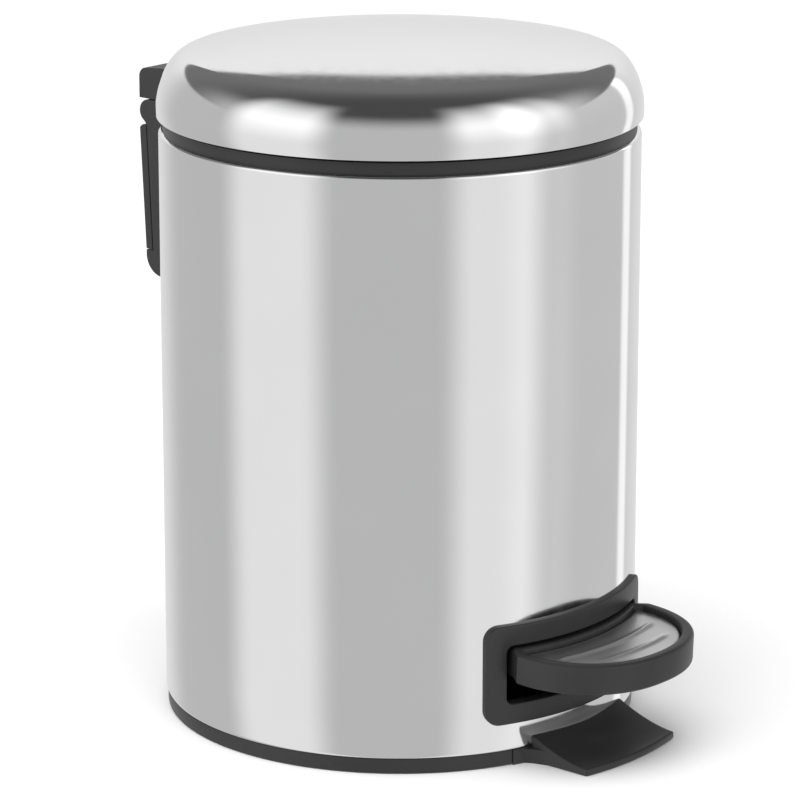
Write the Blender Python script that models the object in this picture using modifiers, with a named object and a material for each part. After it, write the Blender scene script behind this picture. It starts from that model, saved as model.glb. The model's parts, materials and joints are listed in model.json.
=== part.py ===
"""A small pedal bin: a steel drum, a hinged lid, a lifting bucket, and a pedal that opens the lid by a rod.

Metres, +Z up. The origin is on the floor, on the drum's axis. The pedal is at -Y and the hinge at +Y.
"""

import math

import bmesh
import bpy
from mathutils import Matrix, Vector

# ---------------------------------------------------------------- driving dimensions

GAP = 0.0003  # between two pieces that touch
RUN = 0.0004  # round a shaft or a rod that turns or slides
ROUND_STEPS = 48  # round the drum
SMALL_STEPS = 16  # round a pin

# Drum
BODY_RADIUS = 0.085
BODY_HEIGHT = 0.2057
SHEET = 0.0006
EDGE_ROLL = 0.0018  # how far the sheet's edges turn in

# Base
BASE_RIM = 0.0056  # height of the ring under the sheet
BASE_FLOOR = 0.003
BASE_RECESS = 0.0012  # hollow under the floor, between the foot ring and the middle pad
BASE_PAD_RADIUS = 0.030
SPIGOT_WALL = 0.002  # collars of the base and of the top ring, inside the sheet
SPIGOT_HEIGHT = 0.0085

# Front foot
FOOT_REACH = 0.024  # in front of the drum
FOOT_HALF_WIDTH = 0.026
FOOT_TAPER = 0.06  # share of its width that it loses towards the front
FOOT_TOP = 0.010
FOOT_LIP = 0.0027
FOOT_SECTOR = math.radians(22.5)  # half of the rim that belongs to the foot

# Top ring and bucket
RING_RISE = 0.0047  # above the sheet
RING_SETBACK = 0.001  # inside the drum's radius
RING_LEDGE = 0.0023
RING_OPENING = 0.0097  # from the drum's radius in to the ledge's inner edge
RING_STEP = 0.0013  # of the ledge, above the sheet's top
RING_BEVEL = 0.0006
BUCKET_WALL = 0.0015
BUCKET_FLANGE = 0.0012
FLANGE_SEAT = 0.0019  # how far the flange lies on the ledge
BUCKET_CLEARANCE = 0.0008  # between the bucket's wall and the ledge
BUCKET_DRAFT = 0.0045  # smaller in radius at the bottom
BUCKET_BOTTOM = 0.048
LUG_RISE = 0.0048  # of the handle's lugs, above the flange
LUG_HALF_WIDTH = 0.005
LUG_WALL = 0.003
LUG_SETBACK = 0.0006  # inside the flange's edge
HANDLE_WIRE = 0.00125
HANDLE_RISE = 0.0021  # above the flange

# Lid
LID_OVERHANG = 0.0013
LID_EDGE_GAP = 0.0008  # between the top ring and the lid's edge
LID_HEIGHT = 0.0286
LID_CROWN_DROP = 0.0065  # from the lid's middle down to where its corner starts
LID_CORNER = 0.011  # how far in from its side the lid's crown begins
LID_SKIRT = 0.0034
CORNER_PULL_CROWN = 0.0076
CORNER_PULL_SKIRT = 0.0055
LINER_WALL = 0.0048
LINER_RISE = 0.0008  # above the lid's edge
LINER_HEIGHT = 0.0058
BUMPER_RADIUS = 0.0019

# Hinge
HINGE_SETBACK = 0.0151  # of the pivot, behind the drum
HINGE_DROP = 0.0029  # of the pivot, below the top of the sheet
HINGE_PIN = 0.00175
KNUCKLE_RADIUS = 0.004
KNUCKLE_PLAY = 0.0005  # at each end, between the cheeks
REAR_WALL = 0.0044  # from the pivot back to the bracket's rear face
BARREL_RADIUS = 0.0043
ARM_DEPTH = 0.0038  # of the liner's arm, under the lid's edge
CAP_HALF_WIDTH = 0.024
CHEEK_WALL = 0.007
CAP_HEIGHT = 0.0127
BRACKET_LENGTH = 0.065
BRACKET_TAPER = 0.0023  # its rear face comes this much nearer the drum at the bottom
BRACKET_WEB = 0.004
COVER_THICKNESS = 0.0032
COVER_TOP_DROP = 0.0053  # below the pivot
COVER_FOOT = 0.009  # of the cover, above the bracket's bottom
SCREW_RADIUS = 0.0015
SCREW_HEAD = 0.003
SCREW_SPREAD = 0.010
SCREW_DROP = 0.033  # below the top of the sheet

# Push rod
ROD_RADIUS = 0.0015
ROD_SETBACK = 0.0048  # inside the drum's radius
ROD_CAP_WALL = 0.0006
ROD_CAP_HEIGHT = 0.006
GUIDE_HALF_WIDTH = 0.014
GUIDE_LENGTH = 0.036
GUIDE_THICKNESS = 0.0015

# Pedal
PEDAL_REACH = 0.0363  # in front of the drum
PEDAL_HALF_WIDTH = 0.0385
PEDAL_NECK = 0.0345  # half its width in the window
PEDAL_TOP = 0.0432  # at the drum's face
PEDAL_DEPTH = 0.0108
PEDAL_DROOP = math.radians(2)
PEDAL_FULLNESS = 2.25  # exponent of the outline: 2 is an ellipse
PEDAL_TAIL = 0.019  # inside the drum
PEDAL_RIM = 0.0042
PLATE_RECESS = 0.0018
INSERT_SETBACK = 0.0012  # of the insert's back edge, in front of the bezel
PLATE_THICKNESS = 0.0008
PEDAL_WEB = 0.0040
RIVET_RADIUS = 0.0017
RIVET_HEAD = 0.003
RIVET_SPREAD = 0.007
RIVET_REACH = 0.010  # in front of the drum

# Window and bezel
BEZEL_DEPTH = 0.0022
BEZEL_HALF_WIDTH = 0.044
BEZEL_BOTTOM = 0.016
BEZEL_HEIGHT = 0.036
BEZEL_CORNER = 0.0055
WINDOW_HALF_WIDTH = 0.0368
WINDOW_BOTTOM = 0.0234
WINDOW_HEIGHT = 0.0212
WINDOW_CORNER = 0.0025
COLLAR_WALL = 0.0012

# Lever
ARM_THICKNESS = 0.002
ARM_HALF_WIDTH = 0.013
AXLE_SETBACK = 0.047  # inside the drum's radius
AXLE_HEIGHT = 0.023
AXLE_RADIUS = 0.002
AXLE_COVERAGE = 0.003  # from the axle up to the arm's underside
ARM_TAIL_HEIGHT = 0.012  # top of the arm under the rod
EAR_WALL = 0.0035
EAR_PLAY = 0.0006  # at each side of the arm
EAR_RADIUS = 0.005
CLIP_RADIUS = 0.0045
CLIP_THICKNESS = 0.001
AXLE_OVERRUN = 0.0025  # of the axle, outside its clip

# ---------------------------------------------------------------- places worked out from them

BODY_BOTTOM = BASE_RIM + GAP
BODY_TOP = BODY_BOTTOM + BODY_HEIGHT
BODY_INSIDE = BODY_RADIUS - SHEET
ROLL_EDGE = BODY_RADIUS - EDGE_ROLL
SPIGOT_OUTSIDE = ROLL_EDGE - GAP
SPIGOT_INSIDE = SPIGOT_OUTSIDE - SPIGOT_WALL

RING_BOTTOM = BODY_TOP + GAP
RING_TOP = RING_BOTTOM + RING_RISE
RING_RADIUS = BODY_RADIUS - RING_SETBACK
LEDGE_INSIDE = BODY_RADIUS - RING_OPENING
LEDGE_TOP = RING_BOTTOM + RING_STEP
LEDGE_BOTTOM = LEDGE_TOP - RING_LEDGE

BUCKET_RADIUS = LEDGE_INSIDE - BUCKET_CLEARANCE
FLANGE_RADIUS = LEDGE_INSIDE + FLANGE_SEAT
FLANGE_BOTTOM = LEDGE_TOP + GAP
FLANGE_TOP = FLANGE_BOTTOM + BUCKET_FLANGE
LUG_TOP = FLANGE_TOP + LUG_RISE
LUG_OUTSIDE = FLANGE_RADIUS - LUG_SETBACK
LUG_INSIDE = LUG_OUTSIDE - LUG_WALL
HANDLE_Z = FLANGE_TOP + HANDLE_RISE
HANDLE_RADIUS = LUG_INSIDE - HANDLE_WIRE - RUN

LID_RADIUS = BODY_RADIUS + LID_OVERHANG
LID_EDGE = RING_TOP + LID_EDGE_GAP
LID_TOP = LID_EDGE + LID_HEIGHT
LID_INSIDE = LID_RADIUS - SHEET
LID_CROWN_REACH = LID_RADIUS - LID_CORNER
LID_CROWN_RADIUS = (LID_CROWN_REACH**2 + LID_CROWN_DROP**2) / (2 * LID_CROWN_DROP)
LINER_OUTSIDE = LID_INSIDE - GAP
LINER_INSIDE = LINER_OUTSIDE - LINER_WALL
LINER_BOTTOM = LID_EDGE + LINER_RISE
LINER_TOP = LINER_BOTTOM + LINER_HEIGHT

HINGE = Vector((0, BODY_RADIUS + HINGE_SETBACK, BODY_TOP - HINGE_DROP))
REAR_FACE = HINGE.y + REAR_WALL
ARM_TOP = LID_EDGE - GAP
ARM_BOTTOM = ARM_TOP - ARM_DEPTH
BRACKET_TOP = ARM_BOTTOM - GAP
BRACKET_BOTTOM = BRACKET_TOP - BRACKET_LENGTH
CHEEK_INSIDE = CAP_HALF_WIDTH - CHEEK_WALL
KNUCKLE_HALF_WIDTH = CHEEK_INSIDE - KNUCKLE_PLAY
COVER_TOP = HINGE.z - COVER_TOP_DROP
COVER_BOTTOM = BRACKET_BOTTOM + COVER_FOOT
SCREW_Z = BODY_TOP - SCREW_DROP
WEB_FACE = BODY_RADIUS + BRACKET_WEB + GAP

ROD_Y = BODY_RADIUS - ROD_SETBACK
ROD_CAP_RADIUS = ROD_RADIUS + GAP + ROD_CAP_WALL
ROD_TOP = ARM_BOTTOM - GAP
ROD_FOOT = ARM_TAIL_HEIGHT + RUN
GUIDE_OUTSIDE = BODY_INSIDE - GAP
GUIDE_BOTTOM = SCREW_Z - GUIDE_LENGTH / 2

BEZEL_FACE = BODY_RADIUS + GAP + BEZEL_DEPTH
WINDOW_TOP = WINDOW_BOTTOM + WINDOW_HEIGHT
PEDAL_FRONT = BODY_RADIUS + PEDAL_REACH
PEDAL_SHOULDER = BODY_RADIUS  # where the outline's round front begins
NECK_FRONT = math.sqrt(BEZEL_FACE**2 - WINDOW_HALF_WIDTH**2) + GAP
INSERT_BACK = BEZEL_FACE + INSERT_SETBACK
PLATE_UNDER = PLATE_RECESS + PLATE_THICKNESS
WEB_TOP = PLATE_UNDER + GAP
WEB_UNDER = WEB_TOP + PEDAL_WEB
ARM_UPPER = WEB_UNDER + GAP  # below the pedal's rim, as the three above
ARM_LOWER = ARM_UPPER + ARM_THICKNESS
RIVET_FORWARD = BODY_RADIUS + RIVET_REACH

AXLE = Vector((0, -(BODY_RADIUS - AXLE_SETBACK), AXLE_HEIGHT))
EAR_INSIDE = ARM_HALF_WIDTH + EAR_PLAY
EAR_OUTSIDE = EAR_INSIDE + EAR_WALL
CLIP_X = EAR_OUTSIDE + GAP + CLIP_THICKNESS / 2
AXLE_HALF_LENGTH = CLIP_X + AXLE_OVERRUN

# Axes that an outline's own X, Y and thickness take in the object.
SIDE_VIEW = Matrix(((0, 0, 1, 0), (1, 0, 0, 0), (0, 1, 0, 0), (0, 0, 0, 1)))
ALONG_X = Matrix.Rotation(math.pi / 2, 4, "Y")
ALONG_Y = Matrix.Rotation(math.pi / 2, 4, "X")

# ---------------------------------------------------------------- scene and materials


def clear_scene():
    for old in list(bpy.data.objects):
        bpy.data.objects.remove(old)


def new_collection(name):
    collection = bpy.data.collections.new(name)
    bpy.context.scene.collection.children.link(collection)
    return collection


def new_material(name, colour, roughness, metallic=0.0):
    material = bpy.data.materials.new(name)
    material.use_nodes = True
    shader = material.node_tree.nodes["Principled BSDF"]
    shader.inputs["Base Color"].default_value = (*colour, 1)
    shader.inputs["Roughness"].default_value = roughness
    shader.inputs["Metallic"].default_value = metallic
    material.diffuse_color = (*colour, 1)
    return material


clear_scene()
PARTS = new_collection("pedal_bin")
CUTTERS = new_collection("cutters")

STEEL = {"colour": (0.72, 0.72, 0.71), "roughness": 0.14, "metallic": 1.0}
WIRE = {"colour": (0.55, 0.55, 0.55), "roughness": 0.3, "metallic": 1.0}
BLACK = {"colour": (0.045, 0.046, 0.05), "roughness": 0.45}
GREY = {"colour": (0.16, 0.165, 0.17), "roughness": 0.55}
SOFT = {"colour": (0.03, 0.03, 0.03), "roughness": 0.8}

# ---------------------------------------------------------------- building blocks


def new_object(name, mesh, place=None):
    """An object in the cutters' collection: finish() moves those that are parts of the bin."""
    thing = bpy.data.objects.new(name, mesh)
    CUTTERS.objects.link(thing)
    thing.hide_render = True
    thing.display_type = "WIRE"
    if place is not None:
        thing.matrix_world = place
    return thing


def finish(thing, look, parent=None):
    """Makes the object a part of the bin, with a material of its own."""
    CUTTERS.objects.unlink(thing)
    PARTS.objects.link(thing)
    thing.hide_render = False
    thing.display_type = "TEXTURED"
    thing.data.materials.clear()
    thing.data.materials.append(new_material(thing.name, **look))
    thing.data.shade_smooth()
    thing.data.set_sharp_from_angle(angle=math.radians(35))
    if parent is not None:
        thing.parent = parent
        thing.matrix_parent_inverse = parent.matrix_world.inverted()
    return thing


def pivot(name, location):
    """An empty on a joint's axis, which carries the pieces that move about it."""
    empty = bpy.data.objects.new(name, None)
    PARTS.objects.link(empty)
    empty.location = location
    empty.empty_display_size = 0.01
    bpy.context.view_layer.update()
    return empty


def turned(name, profile, closed=True, steps=ROUND_STEPS, place=None):
    """A turned solid. Its (radius, z) profile goes down the outer side; an open one ends on the axis."""
    mesh = bpy.data.meshes.new(name)
    edges = [(i, i + 1) for i in range(len(profile) - 1)]
    if closed:
        edges.append((len(profile) - 1, 0))
    mesh.from_pydata([(radius, 0, z) for radius, z in profile], edges, [])
    thing = new_object(name, mesh, place)
    screw = thing.modifiers.new("Turn", "SCREW")
    screw.axis = "Z"
    screw.steps = screw.render_steps = steps
    screw.use_merge_vertices = True
    screw.merge_threshold = 0.00001
    return thing


def drum(name, radius, bottom, top, steps=ROUND_STEPS, place=None):
    return turned(name, [(0, top), (radius, top), (radius, bottom), (0, bottom)], False, steps, place)


def rod(name, radius, start, end, steps=SMALL_STEPS):
    """A round bar from start to end, both on a line along X, Y or Z."""
    start, end = Vector(start), Vector(end)
    shape = bmesh.new()
    bmesh.ops.create_cone(
        shape, cap_ends=True, segments=steps, radius1=radius, radius2=radius, depth=(end - start).length
    )
    mesh = bpy.data.meshes.new(name)
    shape.to_mesh(mesh)
    shape.free()
    turn = (end - start).to_track_quat("Z", "Y").to_matrix().to_4x4()
    return new_object(name, mesh, Matrix.Translation((start + end) / 2) @ turn)


def block(name, low, high):
    """A box between two corners."""
    low, high = Vector(low), Vector(high)
    shape = bmesh.new()
    bmesh.ops.create_cube(shape, size=1, matrix=Matrix.Diagonal((*(high - low), 1)))
    mesh = bpy.data.meshes.new(name)
    shape.to_mesh(mesh)
    shape.free()
    return new_object(name, mesh, Matrix.Translation((low + high) / 2))


def outline_mesh(name, loops, thickness):
    """A flat outline, with any holes in it, as a solid this thick about its own plane."""
    curve = bpy.data.curves.new(name, "CURVE")
    curve.dimensions = "2D"
    curve.fill_mode = "BOTH"
    curve.extrude = thickness / 2
    for loop in loops:
        spline = curve.splines.new("POLY")
        spline.points.add(len(loop) - 1)
        spline.use_cyclic_u = True
        for point, (x, y) in zip(spline.points, loop):
            point.co = (x, y, 0, 1)
    return curve_mesh(name, curve)


def curve_mesh(name, curve):
    """The curve's solid, with its caps welded on."""
    holder = bpy.data.objects.new(name, curve)
    CUTTERS.objects.link(holder)
    bpy.context.view_layer.update()
    mesh = bpy.data.meshes.new_from_object(holder.evaluated_get(bpy.context.evaluated_depsgraph_get()))
    bpy.data.objects.remove(holder)
    shape = bmesh.new()
    shape.from_mesh(mesh)
    bmesh.ops.remove_doubles(shape, verts=shape.verts, dist=0.000001)
    flat = math.radians(0.1)
    bmesh.ops.dissolve_limit(shape, angle_limit=flat, verts=shape.verts, edges=shape.edges)
    bmesh.ops.recalc_face_normals(shape, faces=shape.faces)
    shape.to_mesh(mesh)
    shape.free()
    return mesh


def extruded(name, loops, thickness, place=None):
    return new_object(name, outline_mesh(name, loops, thickness), place)


def combine(thing, tool, operation):
    """Adds a Boolean. The tool stays a hidden helper."""
    modifier = thing.modifiers.new(tool.name, "BOOLEAN")
    modifier.operation = operation
    modifier.object = tool
    return thing


def cut(thing, *tools):
    for tool in tools:
        combine(thing, tool, "DIFFERENCE")
    return thing


def join(thing, *tools):
    for tool in tools:
        combine(thing, tool, "UNION")
    return thing


def round_edges(thing, width, segments=2):
    bevel = thing.modifiers.new("Round edges", "BEVEL")
    bevel.width = width
    bevel.segments = segments
    bevel.limit_method = "ANGLE"
    bevel.angle_limit = math.radians(40)
    return thing


def arc(centre, radius, start, end, steps):
    """Points of an arc, from one angle in degrees to another."""
    angles = [math.radians(start + (end - start) * i / steps) for i in range(steps + 1)]
    return [(centre[0] + radius * math.cos(a), centre[1] + radius * math.sin(a)) for a in angles]


def rounded_rectangle(half_width, bottom, top, corner):
    inner = half_width - corner
    points = []
    for x, y, start in (
        (inner, bottom + corner, -90),
        (inner, top - corner, 0),
        (-inner, top - corner, 90),
        (-inner, bottom + corner, 180),
    ):
        points += arc((x, y), corner, start, start + 90, 3)
    return points


def strip(path, thickness):
    """The outline of sheet this thick that follows a path."""
    sides = ([], [])
    for i, point in enumerate(path):
        here = Vector(point)
        before = (here - Vector(path[i - 1])).normalized() if i else None
        after = (Vector(path[i + 1]) - here).normalized() if i + 1 < len(path) else None
        before, after = before or after, after or before
        along = (before + after).normalized()
        reach = thickness / 2 / along.dot(before)
        normal = Vector((-along.y, along.x)) * reach
        sides[0].append(tuple(here + normal))
        sides[1].append(tuple(here - normal))
    return sides[0] + sides[1][::-1]


# ---------------------------------------------------------------- drum, base and foot


def make_body_shell():
    """The rolled sheet, its two edges turned in over the base and under the top ring."""

    def edge(radius, z, way):
        """The turned edge's outer corner, from the side in to its free edge."""
        bend = EDGE_ROLL * 0.6
        turn = [
            (radius - bend + bend * math.cos(a), z + way * bend * math.sin(a))
            for a in (0.0, 0.52, 1.05, 1.57)
        ]
        return turn + [(ROLL_EDGE, turn[-1][1])]

    bend = EDGE_ROLL * 0.6
    outside_top = edge(BODY_RADIUS, BODY_TOP - bend, 1)[::-1]
    outside_bottom = edge(BODY_RADIUS, BODY_BOTTOM + bend, -1)
    inside_bottom = [(ROLL_EDGE, BODY_BOTTOM + SHEET), (BODY_INSIDE - 0.0005, BODY_BOTTOM + SHEET)]
    inside_bottom.append((BODY_INSIDE, BODY_BOTTOM + bend))
    inside_top = [(r, BODY_TOP - (z - BODY_BOTTOM)) for r, z in inside_bottom[::-1]]
    shell = turned("body_shell", outside_top + outside_bottom + inside_bottom + inside_top)
    grow = COLLAR_WALL + GAP
    window = bezel_plate("body_window", [window_loop(grow)], BODY_INSIDE - 0.003, BODY_RADIUS + 0.003)
    cut(shell, window)
    for x in (-SCREW_SPREAD, SCREW_SPREAD):
        cut(shell, screw_hole("body_hole", x))
    return finish(shell, STEEL)


def screw_hole(name, x):
    inner, outer = (x, BODY_INSIDE - 0.008, SCREW_Z), (x, WEB_FACE + 0.01, SCREW_Z)
    return rod(name, SCREW_RADIUS + GAP, inner, outer)


def make_base_plate():
    """The moulded base: a floor, a rim under the sheet, a collar inside it, and the axle's ears."""
    edge = 0.0008
    base = turned(
        "base_plate",
        [
            (0, BASE_FLOOR),
            (SPIGOT_INSIDE, BASE_FLOOR),
            (SPIGOT_INSIDE, BASE_RIM + SPIGOT_HEIGHT),
            (SPIGOT_OUTSIDE, BASE_RIM + SPIGOT_HEIGHT),
            (SPIGOT_OUTSIDE, BASE_RIM),
            (BODY_RADIUS, BASE_RIM),
            (BODY_RADIUS, edge),
            (BODY_RADIUS - edge, 0),
            (SPIGOT_INSIDE, 0),
            (SPIGOT_INSIDE - BASE_RECESS, BASE_RECESS),
            (BASE_PAD_RADIUS + BASE_RECESS, BASE_RECESS),
            (BASE_PAD_RADIUS, 0),
            (0, 0),
        ],
        closed=False,
    )
    for side in (-1, 1):
        middle = side * (EAR_INSIDE + EAR_OUTSIDE) / 2
        root = BASE_FLOOR - 0.001
        shape = [(AXLE.y + EAR_RADIUS * 1.5, root), (AXLE.y + EAR_RADIUS, AXLE.z)]
        shape += arc((AXLE.y, AXLE.z), EAR_RADIUS, 0, 180, 8)[1:]
        shape.append((AXLE.y - EAR_RADIUS * 1.5, root))
        join(base, extruded("base_ear", [shape], EAR_WALL, Matrix.Translation((middle, 0, 0)) @ SIDE_VIEW))
    reach = AXLE_HALF_LENGTH
    cut(base, rod("axle_hole", AXLE_RADIUS + GAP, (-reach, AXLE.y, AXLE.z), (reach, AXLE.y, AXLE.z)))
    notch = ARM_HALF_WIDTH + 0.0015
    cut(base, block("arm_notch", (-notch, SPIGOT_INSIDE - 0.008, BASE_FLOOR), (notch, SPIGOT_OUTSIDE, 0.03)))
    return finish(cut(base, rim_sector("rim_gap", GAP)), BLACK)


def rim_sector(name, grow):
    """The front stretch of the rim, which the foot fills; grow widens it all round."""
    half = FOOT_SECTOR + grow / BODY_RADIUS
    inner, outer = SPIGOT_OUTSIDE + GAP - grow, BODY_RADIUS + 0.003
    steps = 8
    start, sweep = math.degrees(-math.pi / 2 - half), math.degrees(2 * half)
    angles = [start + sweep * i / steps for i in range(steps + 1)]
    sides = [
        [(r * math.cos(math.radians(a)), r * math.sin(math.radians(a))) for a in angles]
        for r in (outer, inner)
    ]
    height = BASE_RIM + 2 * grow
    return extruded(name, [sides[0] + sides[1][::-1]], height, Matrix.Translation((0, 0, BASE_RIM / 2)))


def make_front_foot():
    """The tab on the floor in front: it stops the bin from tipping when the pedal is pressed."""
    front = BODY_RADIUS + FOOT_REACH
    back = BODY_RADIUS - 0.001
    steps = 8
    side = [(-back, 0), (-front - 0.001, 0), (-front - 0.001, FOOT_LIP)]
    for i in range(steps + 1):
        share = i / steps
        side.append((-front + share * FOOT_REACH, FOOT_LIP + (FOOT_TOP - FOOT_LIP) * share**1.8))
    side.append((-back, FOOT_TOP))
    foot = extruded("front_foot", [side], 2 * FOOT_HALF_WIDTH, SIDE_VIEW)
    for vertex in foot.data.vertices:
        forward = -vertex.co.x
        vertex.co.z *= 1 - FOOT_TAPER * (forward - BODY_RADIUS) / FOOT_REACH
    combine(foot, drum("foot_front", front, -0.01, 0.03), "INTERSECT")
    cut(foot, drum("foot_back", BODY_RADIUS + GAP, -0.01, 0.03))
    ring = drum("foot_rim", BODY_RADIUS, 0, BASE_RIM)
    combine(ring, rim_sector("foot_sector", 0), "INTERSECT")
    bridge_half = FOOT_HALF_WIDTH - 0.001
    bridge_low = (-bridge_half, -BODY_RADIUS - 0.002, 0)
    bridge = block("foot_bridge", bridge_low, (bridge_half, -BODY_RADIUS + 0.004, BASE_RIM))
    cut(bridge, drum("bridge_back", SPIGOT_OUTSIDE + GAP, -0.01, 0.03))
    return finish(join(foot, bridge, ring), BLACK)


# ---------------------------------------------------------------- top ring and bucket


def make_top_ring():
    """The ring that closes the drum and carries the bucket; the lid's arm and the rod pass its rear."""
    ring = turned(
        "top_ring",
        [
            (RING_RADIUS - RING_BEVEL, RING_TOP),
            (RING_RADIUS, RING_TOP - RING_BEVEL),
            (RING_RADIUS, RING_BOTTOM),
            (SPIGOT_OUTSIDE, RING_BOTTOM),
            (SPIGOT_OUTSIDE, RING_BOTTOM - SPIGOT_HEIGHT),
            (SPIGOT_INSIDE, RING_BOTTOM - SPIGOT_HEIGHT),
            (SPIGOT_INSIDE, LEDGE_BOTTOM),
            (LEDGE_INSIDE, LEDGE_BOTTOM),
            (LEDGE_INSIDE, LEDGE_TOP),
            (FLANGE_RADIUS + 0.0022, LEDGE_TOP),
            (FLANGE_RADIUS + 0.0032, RING_TOP),
        ],
    )
    notch_low = (-CHEEK_INSIDE - GAP, LEDGE_INSIDE - 0.004, BRACKET_TOP)
    cut(ring, block("arm_gap", notch_low, (CHEEK_INSIDE + GAP, BODY_RADIUS + 0.005, RING_TOP + 0.01)))
    slot = ROD_CAP_RADIUS + RUN
    slot_low = (-slot, ROD_Y - slot, RING_BOTTOM - SPIGOT_HEIGHT - 0.01)
    cut(ring, block("rod_gap", slot_low, (slot, BODY_RADIUS + 0.005, RING_TOP + 0.01)))
    return finish(ring, BLACK)


def make_bucket(lift):
    """The plastic bucket, hung by its flange on the top ring, with two lugs for its handle."""
    foot = BUCKET_RADIUS - BUCKET_DRAFT
    bucket = turned(
        "bucket",
        [
            (0, BUCKET_BOTTOM + BUCKET_WALL),
            (foot - BUCKET_WALL - 0.001, BUCKET_BOTTOM + BUCKET_WALL),
            (foot - BUCKET_WALL, BUCKET_BOTTOM + BUCKET_WALL + 0.001),
            (BUCKET_RADIUS - BUCKET_WALL, FLANGE_TOP),
            (FLANGE_RADIUS, FLANGE_TOP),
            (FLANGE_RADIUS, FLANGE_BOTTOM),
            (BUCKET_RADIUS, FLANGE_BOTTOM),
            (foot, BUCKET_BOTTOM + 0.002),
            (foot - 0.002, BUCKET_BOTTOM),
            (0, BUCKET_BOTTOM),
        ],
        closed=False,
    )
    width, root = LUG_HALF_WIDTH, FLANGE_TOP - 0.0008
    shape = [(-width, root), (width, root), (width, HANDLE_Z)]
    shape += arc((0, HANDLE_Z), LUG_TOP - HANDLE_Z, 35, 145, 6) + [(-width, HANDLE_Z)]
    for side in (-1, 1):
        middle = side * (LUG_INSIDE + LUG_OUTSIDE) / 2
        place = Matrix.Translation((middle, 0, 0)) @ SIDE_VIEW
        join(bucket, extruded("bucket_lug", [shape], LUG_OUTSIDE - LUG_INSIDE, place))
    reach = LUG_OUTSIDE + 0.01
    cut(bucket, rod("handle_hole", HANDLE_WIRE + GAP, (-reach, 0, HANDLE_Z), (reach, 0, HANDLE_Z)))
    return finish(bucket, GREY, lift)


def make_bucket_handle(bail_pivot):
    """The wire handle, lying on the bucket's rim: half a circle, its ends turned out into the lugs."""
    end, bend = LUG_OUTSIDE - 0.0003, 0.0012
    right = [(end, 0), (HANDLE_RADIUS + bend, 0), (HANDLE_RADIUS, -bend)]
    steps = 24
    bow = [(HANDLE_RADIUS * math.cos(a), -HANDLE_RADIUS * math.sin(a)) for a in
           (math.pi * (i + 1) / (steps + 2) for i in range(steps + 1))]
    left = [(-x, y) for x, y in right[::-1]]
    curve = bpy.data.curves.new("bucket_handle", "CURVE")
    curve.dimensions = "3D"
    curve.bevel_depth = HANDLE_WIRE
    curve.bevel_resolution = 2
    curve.use_fill_caps = True
    path = right + bow + left
    spline = curve.splines.new("POLY")
    spline.points.add(len(path) - 1)
    for point, (x, y) in zip(spline.points, path):
        point.co = (x, y, 0, 1)
    place = Matrix.Translation((0, 0, HANDLE_Z))
    return finish(new_object("bucket_handle", curve_mesh("bucket_handle", curve), place), WIRE, bail_pivot)


# ---------------------------------------------------------------- lid


def lid_profile(inset):
    """The lid's curve from its middle out to its edge: a flat crown, a corner and a short straight skirt."""
    centre = LID_TOP - LID_CROWN_RADIUS
    crown = LID_CROWN_RADIUS - inset
    lean = math.asin(LID_CROWN_REACH / LID_CROWN_RADIUS)
    points = [(crown * math.sin(lean * i / 3), centre + crown * math.cos(lean * i / 3)) for i in range(4)]
    start, end = Vector(points[-1]), Vector((LID_RADIUS - inset, LID_EDGE + LID_SKIRT))
    pull_start = start + Vector((math.cos(lean), -math.sin(lean))) * CORNER_PULL_CROWN
    pull_end = end + Vector((0, CORNER_PULL_SKIRT))
    steps = 8
    for i in range(1, steps + 1):
        t = i / steps
        s = 1 - t
        point = start * s**3 + pull_start * 3 * s * s * t + pull_end * 3 * s * t * t + end * t**3
        points.append(tuple(point))
    return points


def make_lid_shell(lid_pivot):
    outside = lid_profile(0) + [(LID_RADIUS, LID_EDGE + GAP), (LID_RADIUS - GAP, LID_EDGE)]
    inside = lid_profile(SHEET) + [(LID_INSIDE, LID_EDGE)]
    return finish(turned("lid_shell", outside + inside[::-1], closed=False), STEEL, lid_pivot)


def make_lid_liner(lid_pivot):
    """The ring inside the lid, with the arm that runs out under the lid's edge to the hinge."""
    liner = turned(
        "lid_liner",
        [
            (LINER_OUTSIDE, LINER_TOP),
            (LINER_OUTSIDE, LINER_BOTTOM),
            (LINER_INSIDE, LINER_BOTTOM),
            (LINER_INSIDE + 0.0014, LINER_TOP),
        ],
    )
    half, front = KNUCKLE_HALF_WIDTH, FLANGE_RADIUS + 0.0007
    back = HINGE.y + 0.0014
    inside = math.sqrt(LINER_OUTSIDE**2 - half**2) - GAP
    root = LINER_BOTTOM + 0.002
    side = [(front, ARM_BOTTOM), (HINGE.y - KNUCKLE_RADIUS * 0.9, ARM_BOTTOM)]
    side += arc((HINGE.y, HINGE.z), KNUCKLE_RADIUS, 154, 431, 16)
    side += [(back, ARM_TOP), (inside, ARM_TOP), (inside, root), (front, root)]
    join(liner, extruded("liner_arm", [side], 2 * half, SIDE_VIEW))
    reach = half + 0.01
    cut(liner, rod("pin_hole", HINGE_PIN + GAP, (-reach, HINGE.y, HINGE.z), (reach, HINGE.y, HINGE.z)))
    return finish(liner, BLACK, lid_pivot)


def make_hinge_cap(lid_pivot):
    """The block behind the lid that hides the arm."""
    top = ARM_BOTTOM + CAP_HEIGHT
    front = BODY_RADIUS - 0.002
    side = [(front, ARM_BOTTOM), (REAR_FACE, ARM_BOTTOM)]
    side += arc((REAR_FACE - 0.0035, top - 0.0048), 0.0035, 0, 75, 4) + [(front, top)]
    cap = extruded("hinge_cap", [side], 2 * CAP_HALF_WIDTH, SIDE_VIEW)
    cut(
        cap,
        drum("cap_front", LID_RADIUS + GAP, ARM_BOTTOM - 0.01, top + 0.01),
        block("cap_slot", (-CHEEK_INSIDE, 0, ARM_BOTTOM - 0.01), (CHEEK_INSIDE, HINGE.y + 0.0017, LID_EDGE)),
    )
    return finish(cap, BLACK, lid_pivot)


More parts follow.
